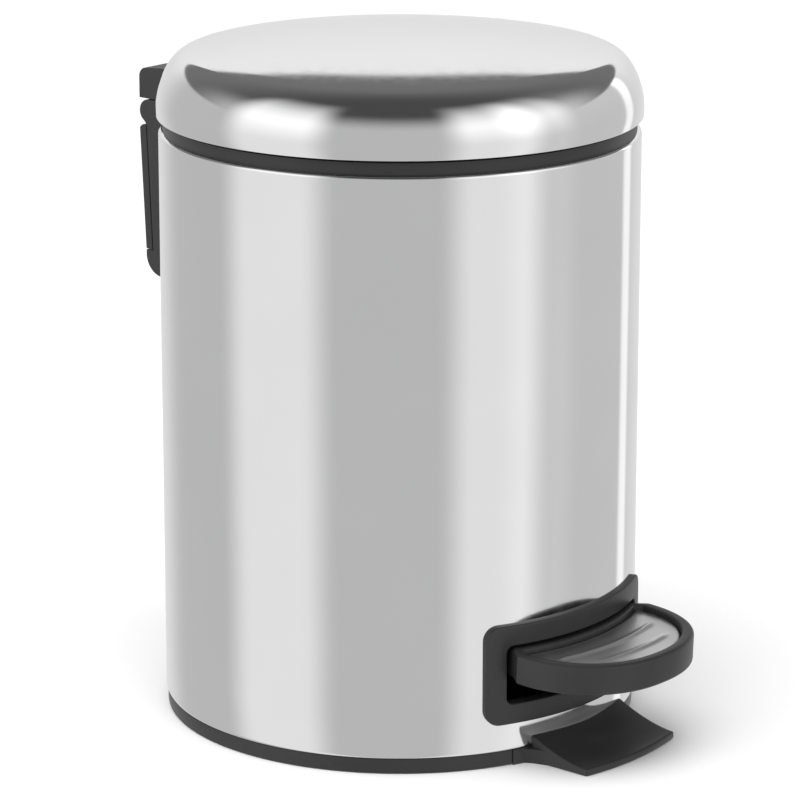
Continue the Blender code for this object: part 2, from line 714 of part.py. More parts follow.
def make_lid_bumpers(lid_pivot):
    middle = (LINER_OUTSIDE + LINER_INSIDE) / 2
    for name, angle in (("right", 0), ("front", -90), ("left", 180)):
        x, y = middle * math.cos(math.radians(angle)), middle * math.sin(math.radians(angle))
        bumper = rod("lid_bumper_" + name, BUMPER_RADIUS, (x, y, RING_TOP + GAP), (x, y, LINER_BOTTOM - GAP))
        finish(bumper, SOFT, lid_pivot)


# ---------------------------------------------------------------- hinge bracket


def rear_face_y(z):
    """Of the bracket, which comes nearer the drum towards the bottom."""
    return REAR_FACE - BRACKET_TAPER * (COVER_TOP - z) / (COVER_TOP - COVER_BOTTOM)


def make_hinge_bracket():
    """The housing on the back of the drum: two cheeks that hold the pin, and a web against the sheet."""
    back = BODY_RADIUS - 0.004
    seat = COVER_THICKNESS + GAP
    low = rear_face_y(COVER_BOTTOM - GAP)
    side = [(back, BRACKET_TOP), (HINGE.y, BRACKET_TOP)]
    side += arc((HINGE.y, HINGE.z), BARREL_RADIUS, 90, -60, 10)[1:]
    foot = COVER_BOTTOM - GAP
    side += [(rear_face_y(COVER_TOP) - seat, COVER_TOP), (low - seat, foot), (low, foot)]
    side += arc((low - 0.008, BRACKET_BOTTOM + 0.008), 0.008, 0, -80, 5)
    side.append((back, BRACKET_BOTTOM - 0.001))
    bracket = extruded("hinge_bracket", [side], 2 * CAP_HALF_WIDTH, SIDE_VIEW)
    cut(
        bracket,
        drum("bracket_seat", BODY_RADIUS + GAP, BRACKET_BOTTOM - 0.01, BRACKET_TOP + 0.01),
        block(
            "bracket_channel",
            (-CHEEK_INSIDE, WEB_FACE, COVER_BOTTOM + 0.002),
            (CHEEK_INSIDE, REAR_FACE + 0.01, BRACKET_TOP + 0.01),
        ),
        block(
            "bracket_throat",
            (-CHEEK_INSIDE, 0, COVER_TOP - 0.001),
            (CHEEK_INSIDE, REAR_FACE + 0.01, BRACKET_TOP + 0.01),
        ),
        rod("bracket_pin_hole", HINGE_PIN + GAP, pin_end(-1, GAP), (CAP_HALF_WIDTH + 0.01, HINGE.y, HINGE.z)),
        *[screw_hole("bracket_hole", x) for x in (-SCREW_SPREAD, SCREW_SPREAD)],
    )
    return finish(bracket, BLACK)


def pin_end(side, extra=0.0):
    """The pin stops short of the cheeks' outer faces."""
    return (side * (CAP_HALF_WIDTH - 0.002 + extra), HINGE.y, HINGE.z)


def make_bracket_cover():
    half = COVER_THICKNESS / 2
    chamfer = 0.0011
    top, low = rear_face_y(COVER_TOP), rear_face_y(COVER_BOTTOM)
    side = [
        (top - 2 * half, COVER_TOP),
        (low - 2 * half, COVER_BOTTOM),
        (low, COVER_BOTTOM),
        (top, COVER_TOP - chamfer),
        (top - chamfer, COVER_TOP),
    ]
    return finish(extruded("bracket_cover", [side], 2 * CAP_HALF_WIDTH, SIDE_VIEW), BLACK)


def make_rod_guide():
    """The plate inside the drum that the bracket's screws pull against, with two eyes for the rod."""
    low, high = GUIDE_BOTTOM, GUIDE_BOTTOM + GUIDE_LENGTH
    inner = GUIDE_OUTSIDE - GUIDE_THICKNESS
    guide = turned("rod_guide", [(GUIDE_OUTSIDE, high), (GUIDE_OUTSIDE, low), (inner, low), (inner, high)])
    wide = GUIDE_HALF_WIDTH
    piece = block("guide_piece", (-wide, 0, low - 0.01), (wide, BODY_RADIUS, high + 0.01))
    combine(guide, piece, "INTERSECT")
    eye, deep = 0.0045, ROD_Y - ROD_RADIUS - 0.0025
    outer = inner + GUIDE_THICKNESS / 2
    for z in (low + 0.003, high - 0.003):
        join(guide, block("guide_eye", (-eye, deep, z - 0.003), (eye, outer, z + 0.003)))
    for x in (-SCREW_SPREAD, SCREW_SPREAD):
        boss_face = math.sqrt(inner**2 - SCREW_SPREAD**2)
        ends = (x, boss_face - 0.003, SCREW_Z), (x, boss_face + 0.0005, SCREW_Z)
        join(guide, rod("guide_boss", SCREW_HEAD, *ends))
        cut(guide, screw_hole("guide_hole", x))
    cut(guide, rod("rod_hole", ROD_RADIUS + RUN, (0, ROD_Y, low - 0.01), (0, ROD_Y, high + 0.01)))
    return finish(guide, BLACK)


def make_bracket_screws():
    length, head = 0.0095, 0.0018
    for name, x in (("left", -SCREW_SPREAD), ("right", SCREW_SPREAD)):
        profile = [(0, head), (SCREW_HEAD * 0.7, head), (SCREW_HEAD, head * 0.4), (SCREW_HEAD, 0)]
        profile += [(SCREW_RADIUS, 0), (SCREW_RADIUS, -length), (0, -length)]
        place = Matrix.Translation((x, WEB_FACE + GAP, SCREW_Z)) @ ALONG_Y.inverted()
        screw = turned("bracket_screw_" + name, profile, False, SMALL_STEPS, place)
        slot = block("driver_slot", (-0.0004, -SCREW_HEAD, head * 0.5), (0.0004, SCREW_HEAD, head * 2))
        slot.matrix_world = place @ slot.matrix_world
        finish(cut(screw, slot), WIRE)


def make_hinge_pin():
    return finish(rod("hinge_pin", HINGE_PIN, pin_end(-1), pin_end(1)), WIRE)


# ---------------------------------------------------------------- push rod


def make_push_rod(rod_slide):
    """The rod inside the drum's rear wall, with a cap at each end."""
    seat = ROD_CAP_HEIGHT - 0.0012  # depth of a cap's blind hole
    bottom, top = ROD_FOOT + 0.0012 + GAP, ROD_TOP - 0.0012 - GAP
    finish(rod("push_rod", ROD_RADIUS, (0, ROD_Y, bottom), (0, ROD_Y, top)), WIRE, rod_slide)
    bore = ROD_RADIUS + GAP
    rounding = ROD_CAP_RADIUS * 0.6
    profile = [
        (0, ROD_CAP_HEIGHT - seat),
        (bore, ROD_CAP_HEIGHT - seat),
        (bore, ROD_CAP_HEIGHT),
        (ROD_CAP_RADIUS, ROD_CAP_HEIGHT),
        (ROD_CAP_RADIUS, rounding * 0.7),
        (ROD_CAP_RADIUS - rounding * 0.35, rounding * 0.25),
        (ROD_CAP_RADIUS - rounding, 0),
        (0, 0),
    ]
    for name, z, flip in (("rod_cap_lower", ROD_FOOT, 0), ("rod_cap_upper", ROD_TOP, math.pi)):
        place = Matrix.Translation((0, ROD_Y, z)) @ Matrix.Rotation(flip, 4, "X")
        finish(turned(name, profile, False, SMALL_STEPS, place), BLACK, rod_slide)


# ---------------------------------------------------------------- pedal window and bezel


def half_arc(half_width):
    """Length round the bezel's face to a point this far to one side."""
    return BEZEL_FACE * math.asin(half_width / BEZEL_FACE)


def window_loop(grow=0.0):
    """The pedal's window, unrolled; grow widens it all round."""
    low, high = WINDOW_BOTTOM - grow, WINDOW_TOP + grow
    return rounded_rectangle(half_arc(WINDOW_HALF_WIDTH) + grow, low, high, WINDOW_CORNER + grow)


def bezel_plate(name, loops, inner, outer):
    """An unrolled outline wrapped round the drum's front, between two radii."""
    mesh = outline_mesh(name, loops, outer - inner)
    shape = bmesh.new()
    shape.from_mesh(mesh)
    reach, steps = half_arc(BEZEL_HALF_WIDTH), 12
    for i in range(1, steps):
        everything = shape.verts[:] + shape.edges[:] + shape.faces[:]
        here = (reach * (2 * i / steps - 1), 0, 0)
        bmesh.ops.bisect_plane(shape, geom=everything, plane_co=here, plane_no=(1, 0, 0))
    for vertex in shape.verts:
        angle = vertex.co.x / BEZEL_FACE
        radius = (inner + outer) / 2 + vertex.co.z
        vertex.co = (radius * math.sin(angle), -radius * math.cos(angle), vertex.co.y)
    shape.to_mesh(mesh)
    shape.free()
    return new_object(name, mesh)


def make_pedal_bezel():
    """The frame round the window, and its collar through the sheet."""
    frame = rounded_rectangle(
        half_arc(BEZEL_HALF_WIDTH), BEZEL_BOTTOM, BEZEL_BOTTOM + BEZEL_HEIGHT, BEZEL_CORNER
    )
    bezel = bezel_plate("pedal_bezel", [frame, window_loop()], BODY_RADIUS + GAP, BEZEL_FACE)
    collar_loops = [window_loop(COLLAR_WALL), window_loop()]
    join(bezel, bezel_plate("bezel_collar", collar_loops, BODY_INSIDE - 0.0015, BODY_RADIUS + GAP + 0.001))
    return finish(bezel, BLACK)


# ---------------------------------------------------------------- pedal and lever


def pedal_place():
    """The pedal's own frame: its rim's top is z 0 at the drum's face, and it droops to the front."""
    return Matrix.Translation((0, -BODY_RADIUS, PEDAL_TOP)) @ Matrix.Rotation(PEDAL_DROOP, 4, "X")


def pedal_front(inset, steps=18):
    """The round front of the pedal from its right side to its left, in the pedal's frame."""
    wide, long = PEDAL_HALF_WIDTH - inset, PEDAL_FRONT - PEDAL_SHOULDER - inset
    points = []
    for i in range(steps + 1):
        angle = math.pi * i / steps
        c, s = math.cos(angle), math.sin(angle)
        x = math.copysign(wide * abs(c) ** (2 / PEDAL_FULLNESS), c)
        forward = PEDAL_SHOULDER + long * s ** (2 / PEDAL_FULLNESS)
        points.append((x, BODY_RADIUS - forward))
    return points


def plate_outline(grow):
    """The steel insert: inside the rim, and round about the drum's axis at its back."""
    front = pedal_front(PEDAL_RIM - grow)
    radius = INSERT_BACK - grow
    lean = math.degrees(math.asin(front[0][0] / radius))
    return front + arc((0, BODY_RADIUS), radius, -90 - lean, -90 + lean, 8)


def layer(name, outline, top, bottom):
    """A flat outline between two depths below the pedal's rim."""
    middle = Matrix.Translation((0, 0, -(top + bottom) / 2))
    return extruded(name, [outline], bottom - top, pedal_place() @ middle)


def make_pedal_frame(pedal_pivot):
    """The plastic pedal: a raised rim round the insert, and a pocket below for the lever."""
    neck_back = NECK_FRONT - 0.004
    tail = BODY_RADIUS - PEDAL_TAIL
    outline = pedal_front(0)
    left = [(PEDAL_NECK, NECK_FRONT + 0.0008), (PEDAL_NECK - 0.0015, neck_back), (PEDAL_NECK - 0.0055, tail)]
    outline += [(-x, BODY_RADIUS - forward) for x, forward in left]
    outline += [(x, BODY_RADIUS - forward) for x, forward in left[::-1]]
    frame = layer("pedal_frame", outline, 0, PEDAL_DEPTH)
    round_edges(frame, 0.0014)
    cut(frame, layer("insert_recess", plate_outline(0), -0.005, WEB_TOP))
    half, reach = ARM_HALF_WIDTH + 0.0005, BODY_RADIUS + 0.0235
    pocket = [(-half, 0.03), (half, 0.03), (half, BODY_RADIUS - reach), (-half, BODY_RADIUS - reach)]
    cut(frame, layer("arm_pocket", pocket, WEB_UNDER, PEDAL_DEPTH + 0.01))
    for x in (-RIVET_SPREAD, RIVET_SPREAD):
        cut(frame, *rivet_holes(x))
    return finish(frame, BLACK, pedal_pivot)


def rivet_place(x):
    return pedal_place() @ Matrix.Translation((x, BODY_RADIUS - RIVET_FORWARD, 0))


def rivet_holes(x):
    shank = drum("rivet_hole", RIVET_RADIUS + GAP, -0.02, 0.0, SMALL_STEPS, rivet_place(x))
    sink = drum("rivet_sink", RIVET_HEAD + GAP, -WEB_TOP - 0.0014, 0.0, SMALL_STEPS, rivet_place(x))
    return shank, sink


def make_pedal_plate(pedal_pivot):
    """The steel insert, with two raised ridges that curve with the drum."""
    plate = layer("pedal_plate", plate_outline(-GAP), PLATE_RECESS, PLATE_UNDER)
    for radius, half_angle in ((BODY_RADIUS + 0.0135, 15), (BODY_RADIUS + 0.0229, 10)):
        wide = 0.0012
        ends = (-90 - half_angle, -90 + half_angle)
        ridge = arc((0, BODY_RADIUS), radius + wide, *ends, 8)
        ridge += arc((0, BODY_RADIUS), radius - wide, *ends[::-1], 8)
        join(plate, layer("plate_ridge", ridge, PLATE_RECESS - 0.0006, PLATE_RECESS + 0.0004))
    return finish(plate, STEEL, pedal_pivot)


def make_pedal_rivets(pedal_pivot):
    head = 0.0009
    top, bottom = -WEB_TOP - GAP, -ARM_LOWER - GAP
    profile = [
        (0, top),
        (RIVET_HEAD, top),
        (RIVET_HEAD, top - head),
        (RIVET_RADIUS, top - head),
        (RIVET_RADIUS, bottom),
        (RIVET_HEAD, bottom),
        (RIVET_HEAD * 0.7, bottom - head),
        (0, bottom - head),
    ]
    for name, x in (("left", -RIVET_SPREAD), ("right", RIVET_SPREAD)):
        rivet = turned("pedal_rivet_" + name, profile, False, SMALL_STEPS, rivet_place(x))
        finish(rivet, WIRE, pedal_pivot)


def make_lever_arm(pedal_pivot):
    """The bent steel strip from the pedal over the axle and down to the rod's foot."""

    def front(forward):
        """A point of the strip's middle line in the pedal's pocket."""
        here = pedal_place() @ Vector((0, BODY_RADIUS - forward, -(ARM_UPPER + ARM_LOWER) / 2))
        return (here.y, here.z)

    over = AXLE.z + AXLE_COVERAGE + ARM_THICKNESS / 2
    tail = ARM_TAIL_HEIGHT - ARM_THICKNESS / 2
    end = math.sqrt(BODY_INSIDE**2 - ARM_HALF_WIDTH**2) - 0.0008
    path = [
        front(BODY_RADIUS + 0.0225),
        front(BODY_RADIUS - 0.015),
        (AXLE.y - 0.009, over),
        (AXLE.y + 0.007, over),
        (ROD_Y - 0.030, tail),
        (end, tail),
    ]
    arm = extruded("lever_arm", [strip(path, ARM_THICKNESS)], 2 * ARM_HALF_WIDTH, SIDE_VIEW)
    fold = 0.0015
    lug = [(AXLE.y + 0.006, over), (AXLE.y - 0.006, over)]
    lug += arc((AXLE.y, AXLE.z), AXLE_RADIUS + 0.0022, 180, 360, 8)
    for side in (-1, 1):
        middle = side * (ARM_HALF_WIDTH - fold / 2)
        join(arm, extruded("arm_lug", [lug], fold, Matrix.Translation((middle, 0, 0)) @ SIDE_VIEW))
    reach = ARM_HALF_WIDTH + 0.01
    cut(arm, rod("arm_hole", AXLE_RADIUS + GAP, (-reach, AXLE.y, AXLE.z), (reach, AXLE.y, AXLE.z)))
    for x in (-RIVET_SPREAD, RIVET_SPREAD):
        cut(arm, drum("arm_rivet_hole", RIVET_RADIUS + GAP, -0.02, 0, SMALL_STEPS, rivet_place(x)))
    return finish(arm, WIRE, pedal_pivot)


def make_lever_axle():
    """The axle across the base's two ears, with a clip at each end."""
    ends = [(side * AXLE_HALF_LENGTH, AXLE.y, AXLE.z) for side in (-1, 1)]
    finish(rod("lever_axle", AXLE_RADIUS, *ends), WIRE)
    half = CLIP_THICKNESS / 2
    inner = AXLE_RADIUS + GAP
    profile = [(CLIP_RADIUS, half), (CLIP_RADIUS, -half), (inner, -half), (inner, half)]
    for name, x in (("left", -CLIP_X), ("right", CLIP_X)):
        place = Matrix.Translation((x, AXLE.y, AXLE.z)) @ ALONG_X
        clip = turned("axle_clip_" + name, profile, True, SMALL_STEPS, place)
        mouth = block("clip_mouth", (-0.0012, -0.01, -0.01), (0.0012, 0, 0.01))
        mouth.matrix_world = place @ mouth.matrix_world
        finish(cut(clip, mouth), WIRE)


# ---------------------------------------------------------------- the bin


def make_bin():
    lid_pivot = pivot("lid_pivot", HINGE)
    pedal_pivot = pivot("pedal_pivot", AXLE)
    rod_slide = pivot("rod_slide", (0, ROD_Y, ROD_FOOT))
    bucket_lift = pivot("bucket_lift", (0, 0, FLANGE_BOTTOM))
    bail_pivot = pivot("bail_pivot", (0, 0, HANDLE_Z))

    make_body_shell()
    make_base_plate()
    make_front_foot()
    make_top_ring()
    make_pedal_bezel()
    make_hinge_bracket()
    make_bracket_cover()
    make_rod_guide()
    make_bracket_screws()
    make_hinge_pin()
    make_lever_axle()

    make_lid_shell(lid_pivot)
    make_lid_liner(lid_pivot)
    make_hinge_cap(lid_pivot)
    make_lid_bumpers(lid_pivot)

    make_pedal_frame(pedal_pivot)
    make_pedal_plate(pedal_pivot)
    make_pedal_rivets(pedal_pivot)
    make_lever_arm(pedal_pivot)

    make_push_rod(rod_slide)
    make_bucket(bucket_lift)
    make_bucket_handle(bail_pivot)


make_bin()
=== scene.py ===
"""The looks of a small pedal bin: finer surfaces and materials over its CAD frame, and the studio round it.

Metres, +Z up, in the frame's own place: the drum's axis is Z, the pedal is at -Y and the hinge at +Y.
"""

import json
import math

import bmesh
import bpy
from mathutils import Matrix, Vector


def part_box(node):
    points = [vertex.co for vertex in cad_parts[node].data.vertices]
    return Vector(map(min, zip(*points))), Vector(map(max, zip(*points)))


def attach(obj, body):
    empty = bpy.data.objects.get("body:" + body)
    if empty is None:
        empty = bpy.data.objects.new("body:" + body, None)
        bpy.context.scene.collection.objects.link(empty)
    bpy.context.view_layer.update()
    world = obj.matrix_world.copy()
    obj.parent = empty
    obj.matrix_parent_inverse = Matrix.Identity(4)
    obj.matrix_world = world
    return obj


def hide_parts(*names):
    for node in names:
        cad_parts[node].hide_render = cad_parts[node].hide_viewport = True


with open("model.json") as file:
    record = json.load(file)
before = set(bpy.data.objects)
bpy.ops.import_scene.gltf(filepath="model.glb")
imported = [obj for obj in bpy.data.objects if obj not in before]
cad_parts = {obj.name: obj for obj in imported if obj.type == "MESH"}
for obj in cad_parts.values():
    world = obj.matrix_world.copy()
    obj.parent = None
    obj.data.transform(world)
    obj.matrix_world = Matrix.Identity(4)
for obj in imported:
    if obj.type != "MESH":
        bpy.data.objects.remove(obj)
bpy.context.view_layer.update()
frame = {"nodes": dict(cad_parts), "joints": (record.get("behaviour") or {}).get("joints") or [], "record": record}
NODES = frame["nodes"]

# ---------------------------------------------------------------- sizes, from the frame


def low(node):
    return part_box(node)[0]


def high(node):
    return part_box(node)[1]


ROUND = 192  # steps round the drum
FINE_ROUND = 64  # steps round a small turned piece
GAP = 0.0003
OVERRUN = 0.01  # of a cutting tool past what it cuts
SHEET = 0.0006

BODY_RADIUS = high("body_shell").x
BODY_BOTTOM = low("body_shell").z
BODY_TOP = high("body_shell").z
BODY_ROLL = 0.0018
SPIGOT_OUTSIDE = BODY_RADIUS - BODY_ROLL - GAP
SPIGOT_INSIDE = SPIGOT_OUTSIDE - 0.002
SPIGOT_HEIGHT = 0.0085

RIM_TOP = BODY_BOTTOM - GAP
FLOOR_TOP = 0.003
RECESS = 0.0012
PAD_RADIUS = 0.030
FOOT_SECTOR = math.radians(22.5)

FOOT_FRONT = -low("front_foot").y
FOOT_HALF_WIDTH = 0.026
FOOT_TOP_HALF_WIDTH = FOOT_HALF_WIDTH * 0.985
FOOT_TOP = high("front_foot").z
FOOT_LIP = 0.0027
FOOT_CURVE = 1.7  # how hollow the slope is, from the lip up to the drum
FLARE = 0.0045  # how far the foot's root spreads along the rim, on each side
FLARE_REACH = 0.010

RING_TOP = high("top_ring").z
RING_SEAT = 0.0022  # from the bucket's flange out to the ring's inner edge
RING_SLOPE = 0.001
RING_BOTTOM = BODY_TOP + GAP
RING_RADIUS = high("top_ring").x
LEDGE_INSIDE = BODY_RADIUS - 0.0097
LEDGE_TOP = RING_BOTTOM + 0.0013
LEDGE_BOTTOM = LEDGE_TOP - 0.0023

FLANGE_RADIUS = high("bucket").x
FLANGE_BOTTOM = LEDGE_TOP + GAP
FLANGE_TOP = FLANGE_BOTTOM + 0.0012
BUCKET_RADIUS = LEDGE_INSIDE - 0.0008
BUCKET_FOOT = BUCKET_RADIUS - 0.0045
BUCKET_BOTTOM = low("bucket").z
BUCKET_WALL = 0.0015
LUG_TOP = high("bucket").z
LUG_OUTSIDE = FLANGE_RADIUS - 0.0006
LUG_INSIDE = LUG_OUTSIDE - 0.003
WIRE_RADIUS = 0.00125
HANDLE_Z = (low("bucket_handle").z + high("bucket_handle").z) / 2
HANDLE_RADIUS = LUG_INSIDE - WIRE_RADIUS - 0.0004

LID_RADIUS = high("lid_shell").x
LID_EDGE = low("lid_shell").z
LID_TOP = high("lid_shell").z
LID_CORNER = 0.011
LID_CROWN_DROP = 0.0065
LID_CROWN_REACH = LID_RADIUS - LID_CORNER
LID_CROWN = (LID_CROWN_REACH**2 + LID_CROWN_DROP**2) / (2 * LID_CROWN_DROP)
LID_SKIRT = 0.0034
LID_CROWN_STEPS, LID_CORNER_STEPS = 14, 22
CORNER_PULL_CROWN, CORNER_PULL_SKIRT = 0.0076, 0.0055  # how far its curve keeps to each end
LINER_OUTSIDE = LID_RADIUS - SHEET - GAP
LINER_BOTTOM = LID_EDGE + 0.0008
LINER_TOP = high("lid_liner").z
LINER_INSIDE = LINER_OUTSIDE - 0.0048
LINER_SLOPE = 0.0014
ARM_PLAY = 0.0007  # from the bucket's flange to the arm
ARM_BACK = 0.0014  # behind the pin

HINGE = Vector(frame["joints"][0]["pos_m"])
PIN_RADIUS = 0.00175
KNUCKLE_RADIUS = 0.004
BARREL_RADIUS = 0.0043
REAR_FACE = high("hinge_cap").y
CAP_HALF_WIDTH = high("hinge_cap").x
CHEEK_INSIDE = CAP_HALF_WIDTH - 0.007
CAP_CORNER = 0.0035
CAP_DROP = 0.0048  # from its top to the middle of its corner's arc
CAP_SLOT_BACK = 0.0017  # behind the pin
ARM_BOTTOM = low("hinge_cap").z
ARM_HALF_WIDTH = CHEEK_INSIDE - 0.0005
BRACKET_TOP = high("hinge_bracket").z
BRACKET_BOTTOM = low("hinge_bracket").z
COVER_TOP = high("bracket_cover").z
COVER_BOTTOM = low("bracket_cover").z
COVER_THICKNESS = 0.0032
BRACKET_TAPER = 0.0023
WEB_FACE = BODY_RADIUS + 0.004 + GAP
SCREW_SPREAD = 0.010
SCREW_HOLE = 0.0018
SCREW_Z = BODY_TOP - 0.033
ROD_Y = (low("push_rod").y + high("push_rod").y) / 2

BEZEL_BACK = BODY_RADIUS + GAP
BEZEL_FACE = BEZEL_BACK + 0.0022
BEZEL_HALF_WIDTH = high("pedal_bezel").x
BEZEL_BOTTOM = low("pedal_bezel").z
BEZEL_TOP = high("pedal_bezel").z
WINDOW_HALF_WIDTH = 0.0368
WINDOW_BOTTOM = 0.0234
WINDOW_TOP = 0.0446
COLLAR_WALL = 0.0012

PEDAL_HALF_WIDTH = high("pedal_frame").x
PEDAL_FRONT = -low("pedal_frame").y
PEDAL_SHOULDER = BODY_RADIUS
PEDAL_TOP = 0.0432  # the rim's top at the drum's face
PEDAL_DROOP = math.radians(2)
PEDAL_FULLNESS = 2.25
PEDAL_DEPTH = 0.0108
PEDAL_TAIL = BODY_RADIUS - 0.019
PEDAL_NECK = 0.0345
PEDAL_RIM = 0.0042
INSERT_BACK = BEZEL_FACE + 0.0012
PLATE_RECESS = 0.0018
PLATE_THICKNESS = 0.0008
PLATE_PLAY = 0.0001
PLATE_THINNER = 0.0003  # than the frame's, to leave room for the ridges and the turned edge
WEB_TOP = PLATE_RECESS + PLATE_THICKNESS + GAP
WEB_UNDER = WEB_TOP + 0.004
RIVET_SPREAD = 0.007
RIVET_FORWARD = BODY_RADIUS + 0.010
LEVER_HALF_WIDTH = high("lever_arm").x
AXLE = Vector(frame["joints"][1]["pos_m"])
AXLE_RADIUS = 0.002

# ---------------------------------------------------------------- materials


NOISE_LOW, NOISE_HIGH = 0.3, 0.7  # nearly all of a noise texture's values lie between these
PLASTIC_SPECULAR = 0.34


def shader_of(name, colour, roughness, metallic=0.0):
    material = bpy.data.materials.new(name)
    material.use_nodes = True
    nodes, links = material.node_tree.nodes, material.node_tree.links
    shader = nodes["Principled BSDF"]
    shader.inputs["Base Color"].default_value = (*colour, 1)
    shader.inputs["Roughness"].default_value = roughness
    shader.inputs["Metallic"].default_value = metallic
    return material, nodes, links, shader


def noise(nodes, links, scale, detail=3.0, stretch=(1, 1, 1)):
    """Noise in the object's own place, in features per metre."""
    place = nodes.new("ShaderNodeTexCoord")
    mapping = nodes.new("ShaderNodeMapping")
    mapping.inputs["Scale"].default_value = stretch
    texture = nodes.new("ShaderNodeTexNoise")
    texture.inputs["Scale"].default_value = scale
    texture.inputs["Detail"].default_value = detail
    links.new(place.outputs["Object"], mapping.inputs["Vector"])
    links.new(mapping.outputs["Vector"], texture.inputs["Vector"])
    return texture.outputs["Fac"]


def spread(nodes, links, source, lowest, highest):
    """Maps a texture's middle range onto a range of values."""
    node = nodes.new("ShaderNodeMapRange")
    node.inputs["From Min"].default_value = NOISE_LOW
    node.inputs["From Max"].default_value = NOISE_HIGH
    node.inputs["To Min"].default_value = lowest
    node.inputs["To Max"].default_value = highest
    links.new(source, node.inputs["Value"])
    return node.outputs["Result"]


def tint(nodes, links, source, dark, light):
    node = nodes.new("ShaderNodeValToRGB")
    for element, place, colour in zip(node.color_ramp.elements, (NOISE_LOW, NOISE_HIGH), (dark, light)):
        element.position = place
        element.color = (*colour, 1)
    links.new(source, node.inputs["Fac"])
    return node.outputs["Color"]


def bump(nodes, links, shader, source, strength, depth):
    node = nodes.new("ShaderNodeBump")
    node.inputs["Strength"].default_value = strength
    node.inputs["Distance"].default_value = depth
    links.new(source, node.inputs["Height"])
    links.new(node.outputs["Normal"], shader.inputs["Normal"])


def polished_steel(name, shade, roughness, unevenness):
    """Stainless sheet: a soft mirror, rolled in one direction, with faint cloudiness."""
    material, nodes, links, shader = shader_of(name, (shade, shade, shade), roughness, 1.0)
    grain = noise(nodes, links, 260, 4, (1, 1, 0.06))
    cloud = noise(nodes, links, 28, 2)
    shine = spread(nodes, links, grain, roughness * (1 - unevenness), roughness * (1 + unevenness))
    links.new(shine, shader.inputs["Roughness"])
    darker = (shade * 0.99, shade * 0.99, shade * 0.997)
    lighter = (shade * 1.01, shade * 1.01, shade * 1.02)
    links.new(tint(nodes, links, cloud, darker, lighter), shader.inputs["Base Color"])
    return material


def plated_steel():
    """Zinc-plated wire and pins: greyer, with a finely mottled shine."""
    material, nodes, links, shader = shader_of("plated_steel", (0.58, 0.58, 0.58), 0.28, 1.0)
    mottle = noise(nodes, links, 700, 3)
    links.new(spread(nodes, links, mottle, 0.22, 0.36), shader.inputs["Roughness"])
    darker, lighter = (0.50, 0.50, 0.49), (0.64, 0.64, 0.65)
    links.new(tint(nodes, links, mottle, darker, lighter), shader.inputs["Base Color"])
    bump(nodes, links, shader, mottle, 0.15, 0.00005)
    return material


def moulded_plastic(name, colour, roughness, texture_scale, strength):
    """Injection-moulded plastic: a fine spark-eroded texture, and a slightly uneven sheen."""
    material, nodes, links, shader = shader_of(name, colour, roughness)
    fine = noise(nodes, links, texture_scale, 2)
    cloud = noise(nodes, links, 45, 3)
    darker = tuple(c * 0.92 for c in colour)
    lighter = tuple(c * 1.08 for c in colour)
    links.new(tint(nodes, links, cloud, darker, lighter), shader.inputs["Base Color"])
    links.new(spread(nodes, links, cloud, roughness - 0.03, roughness + 0.03), shader.inputs["Roughness"])
    bump(nodes, links, shader, fine, strength, 0.00006)
    shader.inputs["Specular IOR Level"].default_value = PLASTIC_SPECULAR
    return material


STEEL = polished_steel("polished_steel", 0.77, 0.075, 0.25)
SATIN_STEEL = polished_steel("satin_steel", 0.86, 0.34, 0.06)
PLATED = plated_steel()
BLACK = moulded_plastic("black_plastic", (0.027, 0.027, 0.028), 0.42, 2600, 0.25)
GREY = moulded_plastic("grey_plastic", (0.16, 0.165, 0.17), 0.5, 1800, 0.12)
RUBBER = moulded_plastic("soft_bumper", (0.03, 0.03, 0.03), 0.75, 3200, 0.2)
LOOKS = {
    "polished_steel": STEEL,
    "plated_steel": PLATED,
    "black_plastic": BLACK,
    "grey_plastic": GREY,
    "soft_bumper": RUBBER,
}

# ---------------------------------------------------------------- mesh building


def new_object(name, shape, place=None):
    """An object from a bmesh, which is freed."""
    bmesh.ops.recalc_face_normals(shape, faces=shape.faces)
    mesh = bpy.data.meshes.new(name)
    shape.to_mesh(mesh)
    shape.free()
    thing = bpy.data.objects.new(name, mesh)
    bpy.context.scene.collection.objects.link(thing)
    if place is not None:
        thing.matrix_world = place
    return thing


def bridge(shape, rings, cyclic=True, closed=False):
    """Quads between rows of vertices. cyclic joins each row's ends, closed the last row to the first."""
    count = len(rings[0])
    pairs = list(zip(rings, rings[1:] + rings[:1])) if closed else list(zip(rings, rings[1:]))
    for a, b in pairs:
        for i in range(count if cyclic else count - 1):
            j = (i + 1) % count
            face = [a[i], a[j], b[j], b[i]]
            face = [v for n, v in enumerate(face) if v not in face[:n]]
            if len(face) > 2:
                shape.faces.new(face)


def fillet(points, radius, steps=3, closed=True):
    """The outline with its corners rounded, by this radius or one number for each corner."""
    count = len(points)
    radii = radius if isinstance(radius, (list, tuple)) else [radius] * count
    out = []
    for i, point in enumerate(points):
        here = Vector(point)
        r = radii[i]
        if r <= 0 or (not closed and i in (0, count - 1)):
            out.append(tuple(here))
            continue
        to_last = Vector(points[i - 1]) - here
        to_next = Vector(points[(i + 1) % count]) - here
        half = to_last.angle(to_next) / 2
        reach = min(r / math.tan(half), to_last.length * 0.45, to_next.length * 0.45)
        start, end = here + to_last.normalized() * reach, here + to_next.normalized() * reach
        for k in range(steps + 1):
            t = k / steps
            out.append(tuple(start * (1 - t) ** 2 + here * (2 * t * (1 - t)) + end * t**2))
    return out


